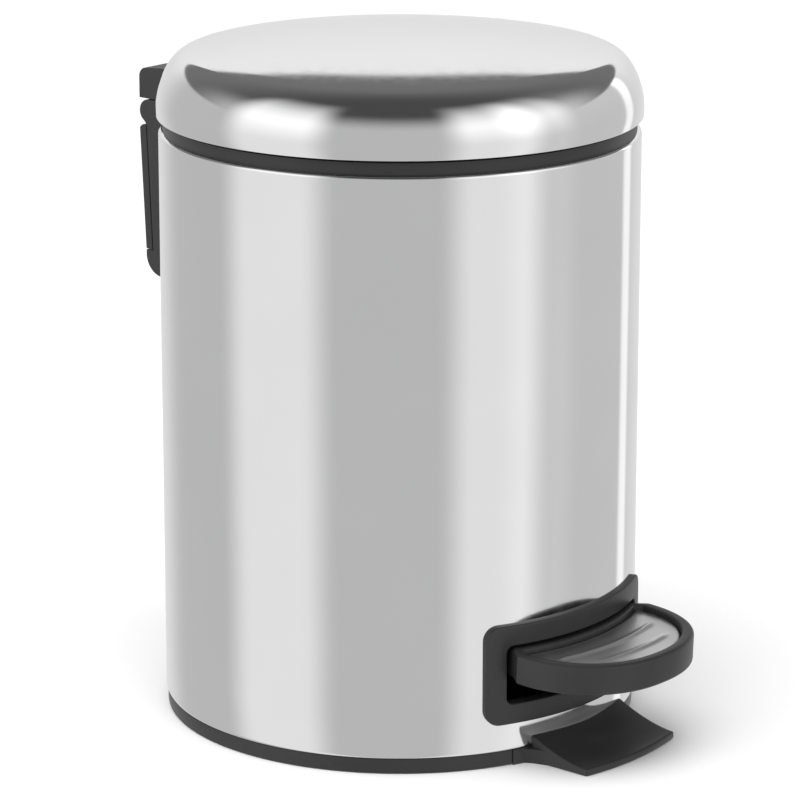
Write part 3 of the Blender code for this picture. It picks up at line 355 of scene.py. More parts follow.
def turned(name, profile, closed=True, steps=ROUND, place=None):
    """A turned solid of (radius, z) points; an open one starts and ends on the axis."""
    shape = bmesh.new()
    rings = []
    for r, z in profile:
        if r < 1e-7:
            vertex = shape.verts.new((0, 0, z))
            rings.append([vertex] * steps)
            continue
        angles = [2 * math.pi * i / steps for i in range(steps)]
        rings.append([shape.verts.new((r * math.cos(a), r * math.sin(a), z)) for a in angles])
    bridge(shape, rings, closed=closed)
    return new_object(name, shape, place)


def rod(name, radius, start, end, steps=FINE_ROUND):
    start, end = Vector(start), Vector(end)
    turn = (end - start).to_track_quat("Z", "Y").to_matrix().to_4x4()
    half = (end - start).length / 2
    profile = [(0, half), (radius, half), (radius, -half), (0, -half)]
    return turned(name, profile, False, steps, Matrix.Translation((start + end) / 2) @ turn)


def block(name, lowest, highest):
    lowest, highest = Vector(lowest), Vector(highest)
    shape = bmesh.new()
    bmesh.ops.create_cube(shape, size=1, matrix=Matrix.Diagonal((*(highest - lowest), 1)))
    return new_object(name, shape, Matrix.Translation((lowest + highest) / 2))


SIDE_VIEW = Matrix(((0, 0, 1, 0), (1, 0, 0, 0), (0, 1, 0, 0), (0, 0, 0, 1)))


def prism(name, outline, thickness, place=None):
    """A flat outline made this thick about its own plane."""
    shape = bmesh.new()
    rings = [[shape.verts.new((x, y, z)) for x, y in outline] for z in (-thickness / 2, thickness / 2)]
    bridge(shape, rings)
    shape.faces.new(rings[0][::-1])
    shape.faces.new(rings[1])
    return new_object(name, shape, place)


def arc(centre, radius, start, end, steps):
    angles = [math.radians(start + (end - start) * i / steps) for i in range(steps + 1)]
    return [(centre[0] + radius * math.cos(a), centre[1] + radius * math.sin(a)) for a in angles]


def combine(thing, tool, operation):
    """A Boolean, applied at once; the tool is used up."""
    modifier = thing.modifiers.new("Boolean", "BOOLEAN")
    modifier.operation = operation
    modifier.solver = "EXACT"
    modifier.object = tool
    settle(thing)
    bpy.data.objects.remove(tool)
    return thing


def cut(thing, *tools):
    for tool in tools:
        combine(thing, tool, "DIFFERENCE")
    return thing


def join(thing, *tools):
    for tool in tools:
        combine(thing, tool, "UNION")
    return thing


def settle(thing):
    """Puts the modifiers' result into the mesh."""
    bpy.context.view_layer.update()
    mesh = bpy.data.meshes.new_from_object(thing.evaluated_get(bpy.context.evaluated_depsgraph_get()))
    thing.modifiers.clear()
    thing.data = mesh
    return thing


def round_edges(thing, width, segments=3, angle=35):
    bevel = thing.modifiers.new("Round edges", "BEVEL")
    bevel.width = width
    bevel.segments = segments
    bevel.limit_method = "ANGLE"
    bevel.angle_limit = math.radians(angle)
    return settle(thing)


def solidify(thing, thickness):
    """Makes a sheet solid, inwards from its face."""
    modifier = thing.modifiers.new("Thickness", "SOLIDIFY")
    modifier.thickness = thickness
    modifier.offset = -1
    modifier.use_even_offset = True
    return settle(thing)


def dress(thing, look, body, *replaced, sharp=32, material=None):
    """Shades a finished piece, gives it its material, and puts it on its body."""
    thing.data.transform(thing.matrix_world)
    thing.matrix_world = Matrix.Identity(4)
    thing.data.shade_smooth()
    thing.data.set_sharp_from_angle(angle=math.radians(sharp))
    thing.data.materials.clear()
    thing.data.materials.append(material or LOOKS[look])
    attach(thing, body)
    if replaced:
        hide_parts(*replaced)
    return thing


# ---------------------------------------------------------------- drum, base and foot


def half_arc(half_width):
    """Length round the bezel's face to a point this far to one side."""
    return BEZEL_FACE * math.asin(half_width / BEZEL_FACE)


def make_body():
    """The sheet: rolled edges at top and bottom, and the pedal's opening behind the bezel."""
    bend = BODY_ROLL * 0.6
    roll = [(BODY_RADIUS - BODY_ROLL, 0)] + [
        (BODY_RADIUS - bend + bend * math.sin(math.radians(a)), bend - bend * math.cos(math.radians(a)))
        for a in range(0, 91, 15)
    ]
    opening = half_arc(WINDOW_HALF_WIDTH) + COLLAR_WALL + GAP
    rows = [WINDOW_BOTTOM - COLLAR_WALL - GAP, WINDOW_TOP + COLLAR_WALL + GAP]
    profile = [(r, BODY_BOTTOM + z) for r, z in roll]
    profile += [(BODY_RADIUS, z) for z in rows]
    profile += [(r, BODY_TOP - z) for r, z in roll[::-1]]
    first = len(roll)
    shape = bmesh.new()
    half_steps = math.ceil(opening / BEZEL_FACE / (2 * math.pi / ROUND))
    rings = []
    for r, z in profile:
        angles = [-math.pi / 2 + 2 * math.pi * i / ROUND for i in range(ROUND)]
        rings.append([shape.verts.new((r * math.cos(a), r * math.sin(a), z)) for a in angles])
    for row, (a, b) in enumerate(zip(rings, rings[1:])):
        for i in range(ROUND):
            beside = min(i, ROUND - 1 - i)
            if row == first and beside < half_steps:
                continue
            j = (i + 1) % ROUND
            shape.faces.new((a[i], a[j], b[j], b[i]))
    body = new_object("drum_sheet", shape)
    outward = body.data.polygons[0].normal.dot(body.data.polygons[0].center)
    if outward < 0:
        body.data.flip_normals()
    dress(solidify(body, SHEET), "polished_steel", "housing", "body_shell", sharp=60)


def make_base():
    """Floor with its recess and pad, foot ring, collar inside the sheet, and the axle's two ears."""
    profile = [
        (0, FLOOR_TOP),
        (SPIGOT_INSIDE, FLOOR_TOP),
        (SPIGOT_INSIDE, RIM_TOP + SPIGOT_HEIGHT),
        (SPIGOT_OUTSIDE, RIM_TOP + SPIGOT_HEIGHT),
        (SPIGOT_OUTSIDE, RIM_TOP),
        (BODY_RADIUS, RIM_TOP),
        (BODY_RADIUS, 0),
        (SPIGOT_INSIDE, 0),
        (SPIGOT_INSIDE - RECESS, RECESS),
        (PAD_RADIUS + RECESS, RECESS),
        (PAD_RADIUS, 0),
        (0, 0),
    ]
    radii = [0, 0.001, 0.0003, 0.0005, 0, 0.0004, 0.0009] + [0.0003] * 4 + [0]
    base = turned("base", fillet(profile, radii, 3, False), False)
    ear_inside = LEVER_HALF_WIDTH + 0.0006
    wall, around = 0.0035, 0.005
    for side in (-1, 1):
        middle = side * (ear_inside + wall / 2)
        root = FLOOR_TOP - 0.001
        outline = [(AXLE.y + around * 1.5, root), (AXLE.y + around, AXLE.z)]
        outline += arc((AXLE.y, AXLE.z), around, 0, 180, 16)[1:] + [(AXLE.y - around * 1.5, root)]
        join(base, prism("ear", outline, wall, Matrix.Translation((middle, 0, 0)) @ SIDE_VIEW))
    reach = 0.024
    cut(base, rod("axle_hole", AXLE_RADIUS + GAP, (-reach, AXLE.y, AXLE.z), (reach, AXLE.y, AXLE.z), 32))
    notch = LEVER_HALF_WIDTH + 0.0015
    cut(base, block("arm_notch", (-notch, SPIGOT_INSIDE - 0.008, FLOOR_TOP), (notch, SPIGOT_OUTSIDE, 0.03)))
    cut(base, rim_sector("rim_gap", 0.0001))
    dress(base, "black_plastic", "housing", "base_plate")


def rim_sector(name, grow):
    """The front stretch of the rim; grow widens it all round."""
    half = math.degrees(FOOT_SECTOR + grow / BODY_RADIUS)
    outer = arc((0, 0), BODY_RADIUS + grow * 10, -90 - half, -90 + half, 24)
    inner = arc((0, 0), SPIGOT_OUTSIDE + GAP - grow, -90 + half, -90 - half, 24)
    return prism(name, outer + inner, RIM_TOP + 2 * grow, Matrix.Translation((0, 0, RIM_TOP / 2)))


def make_foot():
    """The tab in front: a hollow slope from the drum down to a thin lip, flaring out of the rim."""
    back = BODY_RADIUS + GAP
    across, along = 40, 22
    dip = 0.0011  # extra depth in the middle; its place and extent are shares of the foot
    dip_width, dip_place, dip_length = 0.55, 0.8, 0.22
    shape = bmesh.new()

    def slope(share):
        return FOOT_LIP + (FOOT_TOP - FOOT_LIP) * share**FOOT_CURVE

    rows = {"top": [], "bottom": []}
    for i in range(along + 1):
        share = i / along
        lengthwise = math.exp(-(((share - dip_place) / dip_length) ** 2))
        top_row, bottom_row = [], []
        for j in range(across + 1):
            side = 2 * j / across - 1
            radius = back + (FOOT_FRONT - back) * (1 - share)
            x = FOOT_TOP_HALF_WIDTH * side
            y = -math.sqrt(radius**2 - x * x)
            hollow = dip * math.exp(-((side / dip_width) ** 2)) * lengthwise
            top_row.append(shape.verts.new((x, y, slope(share) - hollow)))
            bottom_row.append(shape.verts.new((x, y, 0)))
        rows["top"].append(top_row)
        rows["bottom"].append(bottom_row)
    bridge(shape, rows["top"], cyclic=False)
    bridge(shape, rows["bottom"], cyclic=False)
    top, bottom = rows["top"], rows["bottom"]
    border = [r[0] for r in top] + top[-1][1:] + [r[-1] for r in top[-2::-1]] + top[0][-2:0:-1]
    under = [r[0] for r in bottom] + bottom[-1][1:] + [r[-1] for r in bottom[-2::-1]] + bottom[0][-2:0:-1]
    bridge(shape, [border, under])
    foot = round_edges(new_object("foot", shape), 0.0007, 3, 30)
    rim = rim_sector("foot_rim", 0)
    rim.data.transform(Matrix.Scale((BODY_RADIUS + GAP * 1.5) / BODY_RADIUS, 4, (0, 1, 0)))
    join(foot, rim)
    overlap, sink, play, sweep, steps = 0.001, 0.002, 0.0002, 2.4, 8
    width, height = FLARE + overlap, RIM_TOP - 2 * play
    edge = -math.sqrt(BODY_RADIUS**2 - (FOOT_HALF_WIDTH + FLARE) ** 2)
    for side in (-1, 1):
        start = side * (FOOT_HALF_WIDTH - overlap)
        outline = [(start, edge + sink), (start, edge - FLARE_REACH)]
        for k in range(1, steps + 1):
            t = k / steps
            outline.append((start + side * width * t, edge - FLARE_REACH * (1 - t) ** sweep - play))
        outline.append((start + side * width, edge + sink))
        outline = outline if side < 0 else outline[::-1]
        join(foot, prism("foot_web", outline, height, Matrix.Translation((0, 0, height / 2))))
    dress(foot, "black_plastic", "housing", "front_foot")


# ---------------------------------------------------------------- top ring, bucket and handle


def make_top_ring():
    profile = [
        (RING_RADIUS, RING_TOP),
        (RING_RADIUS, RING_BOTTOM),
        (SPIGOT_OUTSIDE, RING_BOTTOM),
        (SPIGOT_OUTSIDE, RING_BOTTOM - SPIGOT_HEIGHT),
        (SPIGOT_INSIDE, RING_BOTTOM - SPIGOT_HEIGHT),
        (SPIGOT_INSIDE, LEDGE_BOTTOM),
        (LEDGE_INSIDE, LEDGE_BOTTOM),
        (LEDGE_INSIDE, LEDGE_TOP),
        (FLANGE_RADIUS + RING_SEAT, LEDGE_TOP),
        (FLANGE_RADIUS + RING_SEAT + RING_SLOPE, RING_TOP),
    ]
    ring = turned("rim_ring", fillet(profile, 0.0005))
    notch = (-CHEEK_INSIDE - GAP, LEDGE_INSIDE - 0.004, BRACKET_TOP)
    cut(ring, block("arm_gap", notch, (CHEEK_INSIDE + GAP, BODY_RADIUS + OVERRUN / 2, RING_TOP + OVERRUN)))
    half = high("rod_cap_upper").x + 0.0004
    slot = (-half, ROD_Y - half, RING_BOTTOM - SPIGOT_HEIGHT - OVERRUN)
    cut(ring, block("rod_gap", slot, (half, BODY_RADIUS + OVERRUN / 2, RING_TOP + OVERRUN)))
    dress(ring, "black_plastic", "housing", "top_ring")


def make_bucket():
    wall = BUCKET_WALL
    profile = [
        (0, BUCKET_BOTTOM + wall),
        (BUCKET_FOOT - wall, BUCKET_BOTTOM + wall),
        (BUCKET_RADIUS - wall, FLANGE_TOP),
        (FLANGE_RADIUS, FLANGE_TOP),
        (FLANGE_RADIUS, FLANGE_BOTTOM),
        (BUCKET_RADIUS, FLANGE_BOTTOM),
        (BUCKET_FOOT, BUCKET_BOTTOM),
        (0, BUCKET_BOTTOM),
    ]
    radii = [0, 0.0035, 0.0015, 0.0005, 0.0004, 0.0004, 0.004, 0]
    bucket = turned("bucket_shell", fillet(profile, radii, 5, False), False)
    width, root = 0.005, FLANGE_TOP - 0.0008
    outline = [(-width, root), (width, root), (width, HANDLE_Z)]
    outline += arc((0, HANDLE_Z), LUG_TOP - HANDLE_Z, 35, 145, 12) + [(-width, HANDLE_Z)]
    for side in (-1, 1):
        place = Matrix.Translation((side * (LUG_INSIDE + LUG_OUTSIDE) / 2, 0, 0)) @ SIDE_VIEW
        lug = prism("lug", outline, LUG_OUTSIDE - LUG_INSIDE, place)
        join(bucket, round_edges(lug, 0.0005, 2))
    reach = LUG_OUTSIDE + OVERRUN
    cut(bucket, rod("handle_hole", WIRE_RADIUS + GAP, (-reach, 0, HANDLE_Z), (reach, 0, HANDLE_Z), 32))
    dress(bucket, "grey_plastic", "bucket", "bucket")


def swept_wire(name, path, radius, around=20):
    """A round wire along a flat path at the height of its third coordinate, with domed ends."""
    shape = bmesh.new()
    points = [Vector(p) for p in path]
    rings = []
    for i, point in enumerate(points):
        before = points[max(i - 1, 0)]
        after = points[min(i + 1, len(points) - 1)]
        along = (after - before).normalized()
        side = along.cross(Vector((0, 0, 1))).normalized()
        up = side.cross(along)
        scales = [(1.0, 0.0)]
        if i == 0:
            scales = [(0.45, 0.0), (0.85, 0.3), (1.0, 0.7)]
        if i == len(points) - 1:
            scales = [(1.0, -0.7), (0.85, -0.3), (0.45, 0.0)]
        for grow, shift in scales:
            centre = point + along * shift * radius
            ring = []
            for k in range(around):
                a = 2 * math.pi * k / around
                outward = side * math.cos(a) + up * math.sin(a)
                ring.append(shape.verts.new(centre + outward * radius * grow))
            rings.append(ring)
    bridge(shape, rings)
    shape.faces.new(rings[0])
    shape.faces.new(rings[-1])
    return new_object(name, shape)


def make_handle():
    """Half a circle of wire that lies on the bucket's rim, its ends turned out into the lugs."""
    end = LUG_OUTSIDE - 0.0003
    turn = 0.0022
    bends = [math.radians(d) for d in (0, 22, 45, 68, 90)]
    right = [(end, 0)]
    right += [(HANDLE_RADIUS + turn * (1 - math.sin(a)), -turn * (1 - math.cos(a))) for a in bends]
    first = math.asin(turn / HANDLE_RADIUS) * 1.3
    steps = 72
    angles = [first + (math.pi - 2 * first) * i / steps for i in range(steps + 1)]
    bow = [(HANDLE_RADIUS * math.cos(a), -HANDLE_RADIUS * math.sin(a)) for a in angles]
    left = [(-x, y) for x, y in right[::-1]]
    handle = swept_wire("handle_wire", [(x, y, HANDLE_Z) for x, y in right + bow + left], WIRE_RADIUS)
    dress(handle, "plated_steel", "bail", "bucket_handle", sharp=50)


# ---------------------------------------------------------------- lid


def lid_profile(inset):
    """The lid's curve from its middle to its edge: a flat crown, a corner and a short straight skirt."""
    centre = LID_TOP - LID_CROWN
    crown = LID_CROWN - inset
    lean = math.asin(LID_CROWN_REACH / LID_CROWN)
    angles = [lean * i / LID_CROWN_STEPS for i in range(LID_CROWN_STEPS + 1)]
    points = [(crown * math.sin(a), centre + crown * math.cos(a)) for a in angles]
    start, end = Vector(points[-1]), Vector((LID_RADIUS - inset, LID_EDGE + LID_SKIRT))
    pull_start = start + Vector((math.cos(lean), -math.sin(lean))) * CORNER_PULL_CROWN
    pull_end = end + Vector((0, CORNER_PULL_SKIRT))
    for i in range(1, LID_CORNER_STEPS + 1):
        t = i / LID_CORNER_STEPS
        s = 1 - t
        point = start * s**3 + pull_start * 3 * s * s * t + pull_end * 3 * s * t * t + end * t**3
        points.append(tuple(point))
    return points


def make_lid():
    """The pressed dome, its edge folded round."""
    edge = SHEET / 2
    hem = arc((LID_RADIUS - edge, LID_EDGE + edge), edge, 0, -180, 6)
    outside = lid_profile(0) + hem
    lid = turned("lid_dome", outside + lid_profile(SHEET)[::-1], closed=False)
    dress(lid, "polished_steel", "lid", "lid_shell", sharp=80)


def make_liner():
    """The ring inside the lid, with the arm that runs out under the lid's edge to the hinge."""
    profile = [
        (LINER_OUTSIDE, LINER_TOP),
        (LINER_OUTSIDE, LINER_BOTTOM),
        (LINER_INSIDE, LINER_BOTTOM),
        (LINER_INSIDE + LINER_SLOPE, LINER_TOP),
    ]
    liner = turned("lid_ring", fillet(profile, 0.0006))
    half, front = ARM_HALF_WIDTH, FLANGE_RADIUS + ARM_PLAY
    back, arm_top, root = HINGE.y + ARM_BACK, LID_EDGE - GAP, LINER_BOTTOM + 0.002
    inside = math.sqrt(LINER_OUTSIDE**2 - half**2) - GAP
    side = [(front, ARM_BOTTOM), (HINGE.y - KNUCKLE_RADIUS * 0.9, ARM_BOTTOM)]
    side += arc((HINGE.y, HINGE.z), KNUCKLE_RADIUS, 154, 431, 28)
    side += [(back, arm_top), (inside, arm_top), (inside, root), (front, root)]
    join(liner, round_edges(prism("lid_arm", side, 2 * half, SIDE_VIEW), 0.0004, 2))
    reach = half + OVERRUN
    cut(liner, rod("pin_hole", PIN_RADIUS + GAP, (-reach, HINGE.y, HINGE.z), (reach, HINGE.y, HINGE.z), 32))
    dress(liner, "black_plastic", "lid", "lid_liner")


def make_hinge_cap():
    """The block behind the lid that hides the arm."""
    top, front = high("hinge_cap").z, BODY_RADIUS - 0.002
    above, below, lid = top + OVERRUN, ARM_BOTTOM - OVERRUN, LID_RADIUS + GAP
    side = [(front, ARM_BOTTOM), (REAR_FACE, ARM_BOTTOM)]
    side += arc((REAR_FACE - CAP_CORNER, top - CAP_DROP), CAP_CORNER, 0, 75, 10) + [(front, top)]
    cap = round_edges(prism("lid_cap", side, 2 * CAP_HALF_WIDTH, SIDE_VIEW), 0.0004, 3)
    cut(
        cap,
        turned("cap_front", [(0, above), (lid, above), (lid, below), (0, below)], False),
        block("cap_slot", (-CHEEK_INSIDE, 0, below), (CHEEK_INSIDE, HINGE.y + CAP_SLOT_BACK, LID_EDGE)),
    )
    dress(cap, "black_plastic", "lid", "hinge_cap")


# ---------------------------------------------------------------- hinge bracket


def rear_face_y(z):
    """Of the bracket, which comes nearer the drum towards the bottom."""
    return REAR_FACE - BRACKET_TAPER * (COVER_TOP - z) / (COVER_TOP - COVER_BOTTOM)


def make_bracket():
    """Two cheeks that hold the pin, joined by a web against the sheet, with a seat for the cover."""
    back, corner = BODY_RADIUS - 0.004, 0.008
    seat = COVER_THICKNESS + GAP
    foot = COVER_BOTTOM - GAP
    lower = rear_face_y(foot)
    side = [(back, BRACKET_TOP), (HINGE.y, BRACKET_TOP)]
    side += arc((HINGE.y, HINGE.z), BARREL_RADIUS, 90, -60, 24)[1:]
    side += [(rear_face_y(COVER_TOP) - seat, COVER_TOP), (lower - seat, foot), (lower, foot)]
    side += arc((lower - corner, BRACKET_BOTTOM + corner), corner, 0, -80, 14)
    side.append((back, BRACKET_BOTTOM - 0.001))
    bracket = round_edges(prism("bracket", side, 2 * CAP_HALF_WIDTH, SIDE_VIEW), 0.0003, 3)
    above, below = BRACKET_TOP + OVERRUN, BRACKET_BOTTOM - OVERRUN
    behind, drum = REAR_FACE + OVERRUN, BODY_RADIUS + GAP
    cut(
        bracket,
        turned("bracket_seat", [(0, above), (drum, above), (drum, below), (0, below)], False),
        block("channel", (-CHEEK_INSIDE, WEB_FACE, COVER_BOTTOM + 0.002), (CHEEK_INSIDE, behind, above)),
        block("throat", (-CHEEK_INSIDE, 0, COVER_TOP - 0.001), (CHEEK_INSIDE, behind, above)),
        rod(
            "bracket_pin_hole",
            PIN_RADIUS + GAP,
            (-CAP_HALF_WIDTH + 0.002 - GAP, HINGE.y, HINGE.z),
            (CAP_HALF_WIDTH + OVERRUN, HINGE.y, HINGE.z),
            32,
        ),
    )
    for x in (-SCREW_SPREAD, SCREW_SPREAD):
        start, end = (x, BODY_RADIUS - OVERRUN * 0.8, SCREW_Z), (x, WEB_FACE + OVERRUN, SCREW_Z)
        cut(bracket, rod("screw_hole", SCREW_HOLE, start, end, 32))
    dress(bracket, "black_plastic", "housing", "hinge_bracket")


def make_cover():
    top, lower = rear_face_y(COVER_TOP), rear_face_y(COVER_BOTTOM)
    chamfer = 0.0011
    side = [
        (top - COVER_THICKNESS, COVER_TOP),
        (lower - COVER_THICKNESS, COVER_BOTTOM),
        (lower, COVER_BOTTOM),
        (top, COVER_TOP - chamfer),
        (top - chamfer, COVER_TOP),
    ]
    cover = prism("bracket_door", side, 2 * CAP_HALF_WIDTH, SIDE_VIEW)
    dress(round_edges(cover, 0.0003, 3), "black_plastic", "housing", "bracket_cover")


# ---------------------------------------------------------------- pedal window and bezel


def rounded_window(half_width, bottom, top, corner, steps=8, sides=28):
    """A rounded rectangle with its long sides divided, so that it wraps round the drum."""
    inner = half_width - corner
    points = []
    for x, y, start in (
        (inner, bottom + corner, -90),
        (inner, top - corner, 0),
        (-inner, top - corner, 90),
        (-inner, bottom + corner, 180),
    ):
        points += arc((x, y), corner, start, start + 90, steps)
        if start in (0, 180):
            way = -1 if start == 0 else 1
            points += [(x + way * 2 * inner * k / sides, points[-1][1]) for k in range(1, sides)]
    return points


def make_bezel():
    """The frame round the pedal's window, with soft front edges, and its collar through the sheet."""
    soft = 0.0007
    outer = (half_arc(BEZEL_HALF_WIDTH), BEZEL_BOTTOM, BEZEL_TOP, 0.0055)
    inner = (half_arc(WINDOW_HALF_WIDTH), WINDOW_BOTTOM, WINDOW_TOP, 0.0025)
    window_soft = 0.0005
    collar_back = BODY_RADIUS - SHEET - 0.0015
    sections = [(outer, 0.0, BEZEL_BACK)]
    for k in range(5):
        a = math.radians(90 * k / 4)
        sections.append((outer, -soft * (1 - math.cos(a)), BEZEL_FACE - soft * (1 - math.sin(a))))
    for k in range(5):
        a = math.radians(90 - 90 * k / 4)
        grow = window_soft * (1 - math.cos(a))
        sections.append((inner, grow, BEZEL_FACE - window_soft * (1 - math.sin(a))))
    sections.append((inner, 0.0, collar_back))
    sections += [(inner, COLLAR_WALL, collar_back), (inner, COLLAR_WALL, BEZEL_BACK)]
    shape = bmesh.new()
    rings = []
    for (half, bottom, top, corner), grow, radius in sections:
        loop = rounded_window(half + grow, bottom - grow, top + grow, corner + grow)
        ring = []
        for x, z in loop:
            angle = x / BEZEL_FACE
            ring.append(shape.verts.new((radius * math.sin(angle), -radius * math.cos(angle), z)))
        rings.append(ring)
    bridge(shape, rings, closed=True)
    dress(new_object("window_frame", shape), "black_plastic", "housing", "pedal_bezel", sharp=40)


# ---------------------------------------------------------------- pedal


def pedal_place():
    """The pedal's own frame: its rim's top is z 0 at the drum's face, and it droops to the front."""
    return Matrix.Translation((0, -BODY_RADIUS, PEDAL_TOP)) @ Matrix.Rotation(PEDAL_DROOP, 4, "X")


def pedal_front(inset, steps=72):
    """The round front of the pedal from its right side to its left."""
    wide, long = PEDAL_HALF_WIDTH - inset, PEDAL_FRONT - PEDAL_SHOULDER - inset
    points = []
    for i in range(steps + 1):
        t = i / steps
        angle = math.pi * t
        c, s = math.cos(angle), max(math.sin(angle), 0.0)
        x = math.copysign(wide * abs(c) ** (2 / PEDAL_FULLNESS), c)
        points.append((x, BODY_RADIUS - PEDAL_SHOULDER - long * s ** (2 / PEDAL_FULLNESS)))
    return points


def pedal_outline(inset, back_steps=24):
    """The whole pedal, with the same number of points at every inset."""
    neck_front = math.sqrt(BEZEL_FACE**2 - WINDOW_HALF_WIDTH**2) + GAP
    left = [(PEDAL_NECK, neck_front + 0.0008), (PEDAL_NECK - 0.0015, neck_front - 0.004)]
    left.append((PEDAL_NECK - 0.0055, PEDAL_TAIL))
    sides = [(x - inset, BODY_RADIUS - forward) for x, forward in left]
    sides[-1] = (sides[-1][0], sides[-1][1] - inset)
    back = [(sides[-1][0] * (2 * k / back_steps - 1), sides[-1][1]) for k in range(1, back_steps)]
    return pedal_front(inset) + [(-x, y) for x, y in sides] + back + sides[::-1]


def insert_outline(grow, back_steps=28):
    """The steel insert's edge: inside the rim, and round about the drum's axis at its back."""
    front = pedal_front(PEDAL_RIM - grow)
    radius = INSERT_BACK - grow
    lean = math.degrees(math.asin(front[0][0] / radius))
    return front, arc((0, BODY_RADIUS), radius, -90 - lean, -90 + lean, back_steps)


def make_pedal():
    """The plastic pedal: a round raised rim, a sunk floor under the insert, and a pocket for the lever."""
    edge, inner_edge = 0.0013, 0.0009
    shape = bmesh.new()

    def ring(points, depth):
        return [shape.verts.new((x, y, -depth)) for x, y in points]

    rings = []
    for k in range(7):
        a = math.radians(90 * k / 6)
        rings.append(ring(pedal_outline(edge * (1 - math.sin(a))), PEDAL_DEPTH - edge * (1 - math.cos(a))))
    for k in range(7):
        a = math.radians(90 * k / 6)
        rings.append(ring(pedal_outline(edge * (1 - math.cos(a))), edge * (1 - math.sin(a))))

    def inner_ring(grow, depth):
        fore, aft = insert_outline(grow)
        return ring(fore + aft[1:-1], depth)

    inner = []
    for k in range(5):
        a = math.radians(90 - 90 * k / 4)
        inner.append(inner_ring(inner_edge * (1 - math.cos(a)), inner_edge * (1 - math.sin(a))))
    inner.append(inner_ring(0, WEB_TOP))
    bridge(shape, rings)
    bridge(shape, inner)
    shape.faces.new(rings[0][::-1])
    shape.faces.new(inner[-1])
    # The rim's flat top: front to front in quads, and the back in one strip of triangles.
    fronts = len(pedal_front(0))
    for i in range(fronts - 1):
        shape.faces.new((rings[-1][i], rings[-1][i + 1], inner[0][i + 1], inner[0][i]))
    outer_back = rings[-1][fronts - 1 :] + [rings[-1][0]]
    inner_back = inner[0][fronts - 1 :] + [inner[0][0]]
    edges = []
    ends = [(outer_back[0], inner_back[0]), (outer_back[-1], inner_back[-1])]
    for pair in list(zip(outer_back, outer_back[1:])) + list(zip(inner_back, inner_back[1:])) + ends:
        edges.append(shape.edges.get(pair) or shape.edges.new(pair))
    bmesh.ops.triangle_fill(shape, edges=edges, use_beauty=True)
    pedal = new_object("pedal_body", shape, pedal_place())
    half, reach = LEVER_HALF_WIDTH + 0.0005, BODY_RADIUS + 0.0235
    pocket = [(-half, 0.03), (half, 0.03), (half, BODY_RADIUS - reach), (-half, BODY_RADIUS - reach)]
    below = PEDAL_DEPTH + OVERRUN
    place = pedal_place() @ Matrix.Translation((0, 0, -(WEB_UNDER + below) / 2))
    cut(pedal, prism("pocket", pocket, below - WEB_UNDER, place))
    for x in (-RIVET_SPREAD, RIVET_SPREAD):
        here = pedal_place() @ Matrix.Translation((x, BODY_RADIUS - RIVET_FORWARD, 0))
        shank, head = 0.0017 + GAP, 0.003 + GAP
        sink = -WEB_TOP - 0.0014
        profile = [(0, 0), (head, 0), (head, sink), (shank, sink), (shank, -0.02), (0, -0.02)]
        cut(pedal, turned("rivet_hole", profile, False, 24, here))
    dress(pedal, "black_plastic", "pedal", "pedal_frame")


def make_insert():
    """The steel insert: a thin sheet, its edge turned down, with two soft ridges round the drum's axis."""
    front, _ = insert_outline(-GAP)
    across, along = len(front) - 1, 44
    crowding = 0.12  # of the rows, towards both edges
    radius = INSERT_BACK + GAP
    roll, drop = 0.0009, 0.0005
    ridge_height, ridge_width, fade_angle = 0.0005, 0.0010, 3
    ridges = ((BODY_RADIUS + 0.0135, 15), (BODY_RADIUS + 0.0229, 10))
    shape = bmesh.new()

    def height(x, y, border):
        z = -PLATE_RECESS - PLATE_PLAY
        z -= drop * max(0.0, 1 - border / roll) ** 2
        reach = math.hypot(x, BODY_RADIUS - y)
        angle = math.degrees(math.atan2(x, BODY_RADIUS - y))
        for middle, half_angle in ridges:
            fade = min(1.0, max(0.0, (half_angle + fade_angle / 2 - abs(angle)) / fade_angle))
            ridge = math.exp(-(((reach - middle) / ridge_width) ** 2))
            z += ridge_height * ridge * fade * fade * (3 - 2 * fade)
        return z

    rows = []
    width = front[0][0]
    for i in range(across + 1):
        x = front[i][0]
        y_front = front[i][1]
        y_back = BODY_RADIUS - math.sqrt(radius**2 - x * x)
        row = []
        for j in range(along + 1):
            t = j / along
            t -= crowding * math.sin(2 * math.pi * t) / (2 * math.pi)
            y = y_back + (y_front - y_back) * t
            to_front = abs(y_front - y)
            border = min(abs(y - y_back), to_front * 0.9, width - abs(x) + to_front * 0.3)
            row.append(shape.verts.new((x, y, height(x, y, border))))
        rows.append(row)
    bridge(shape, rows, cyclic=False)
    bmesh.ops.remove_doubles(shape, verts=shape.verts, dist=1e-7)
    plate = new_object("pedal_insert", shape, pedal_place())
    if plate.data.polygons[len(plate.data.polygons) // 2].normal.z < 0:
        plate.data.flip_normals()
    plate = solidify(plate, PLATE_THICKNESS - PLATE_THINNER)
    dress(plate, "polished_steel", "pedal", "pedal_plate", sharp=50, material=SATIN_STEEL)


# ---------------------------------------------------------------- pieces that keep their CAD shape


def finish_cad_nodes():
    """The remaining nodes keep their shapes and get the fuller materials."""
    slots = {s["node"]: s["material_slot"] for s in frame["record"]["subparts"]}
    for name, node in NODES.items():
        if node.hide_render:
            continue
        node.data.materials.clear()
        node.data.materials.append(LOOKS[slots[name]])
        for polygon in node.data.polygons:
            polygon.material_index = 0


# ---------------------------------------------------------------- studio

CAMERA_REACH = 1.385  # along the floor, from the drum's axis
CAMERA_HEIGHT = 0.4878
CAMERA_HEADING = math.radians(50.02)  # clockwise from +Y
CAMERA_PITCH = math.radians(15.19)  # down
CAMERA_LENS = 179.0  # on a 36 mm sensor


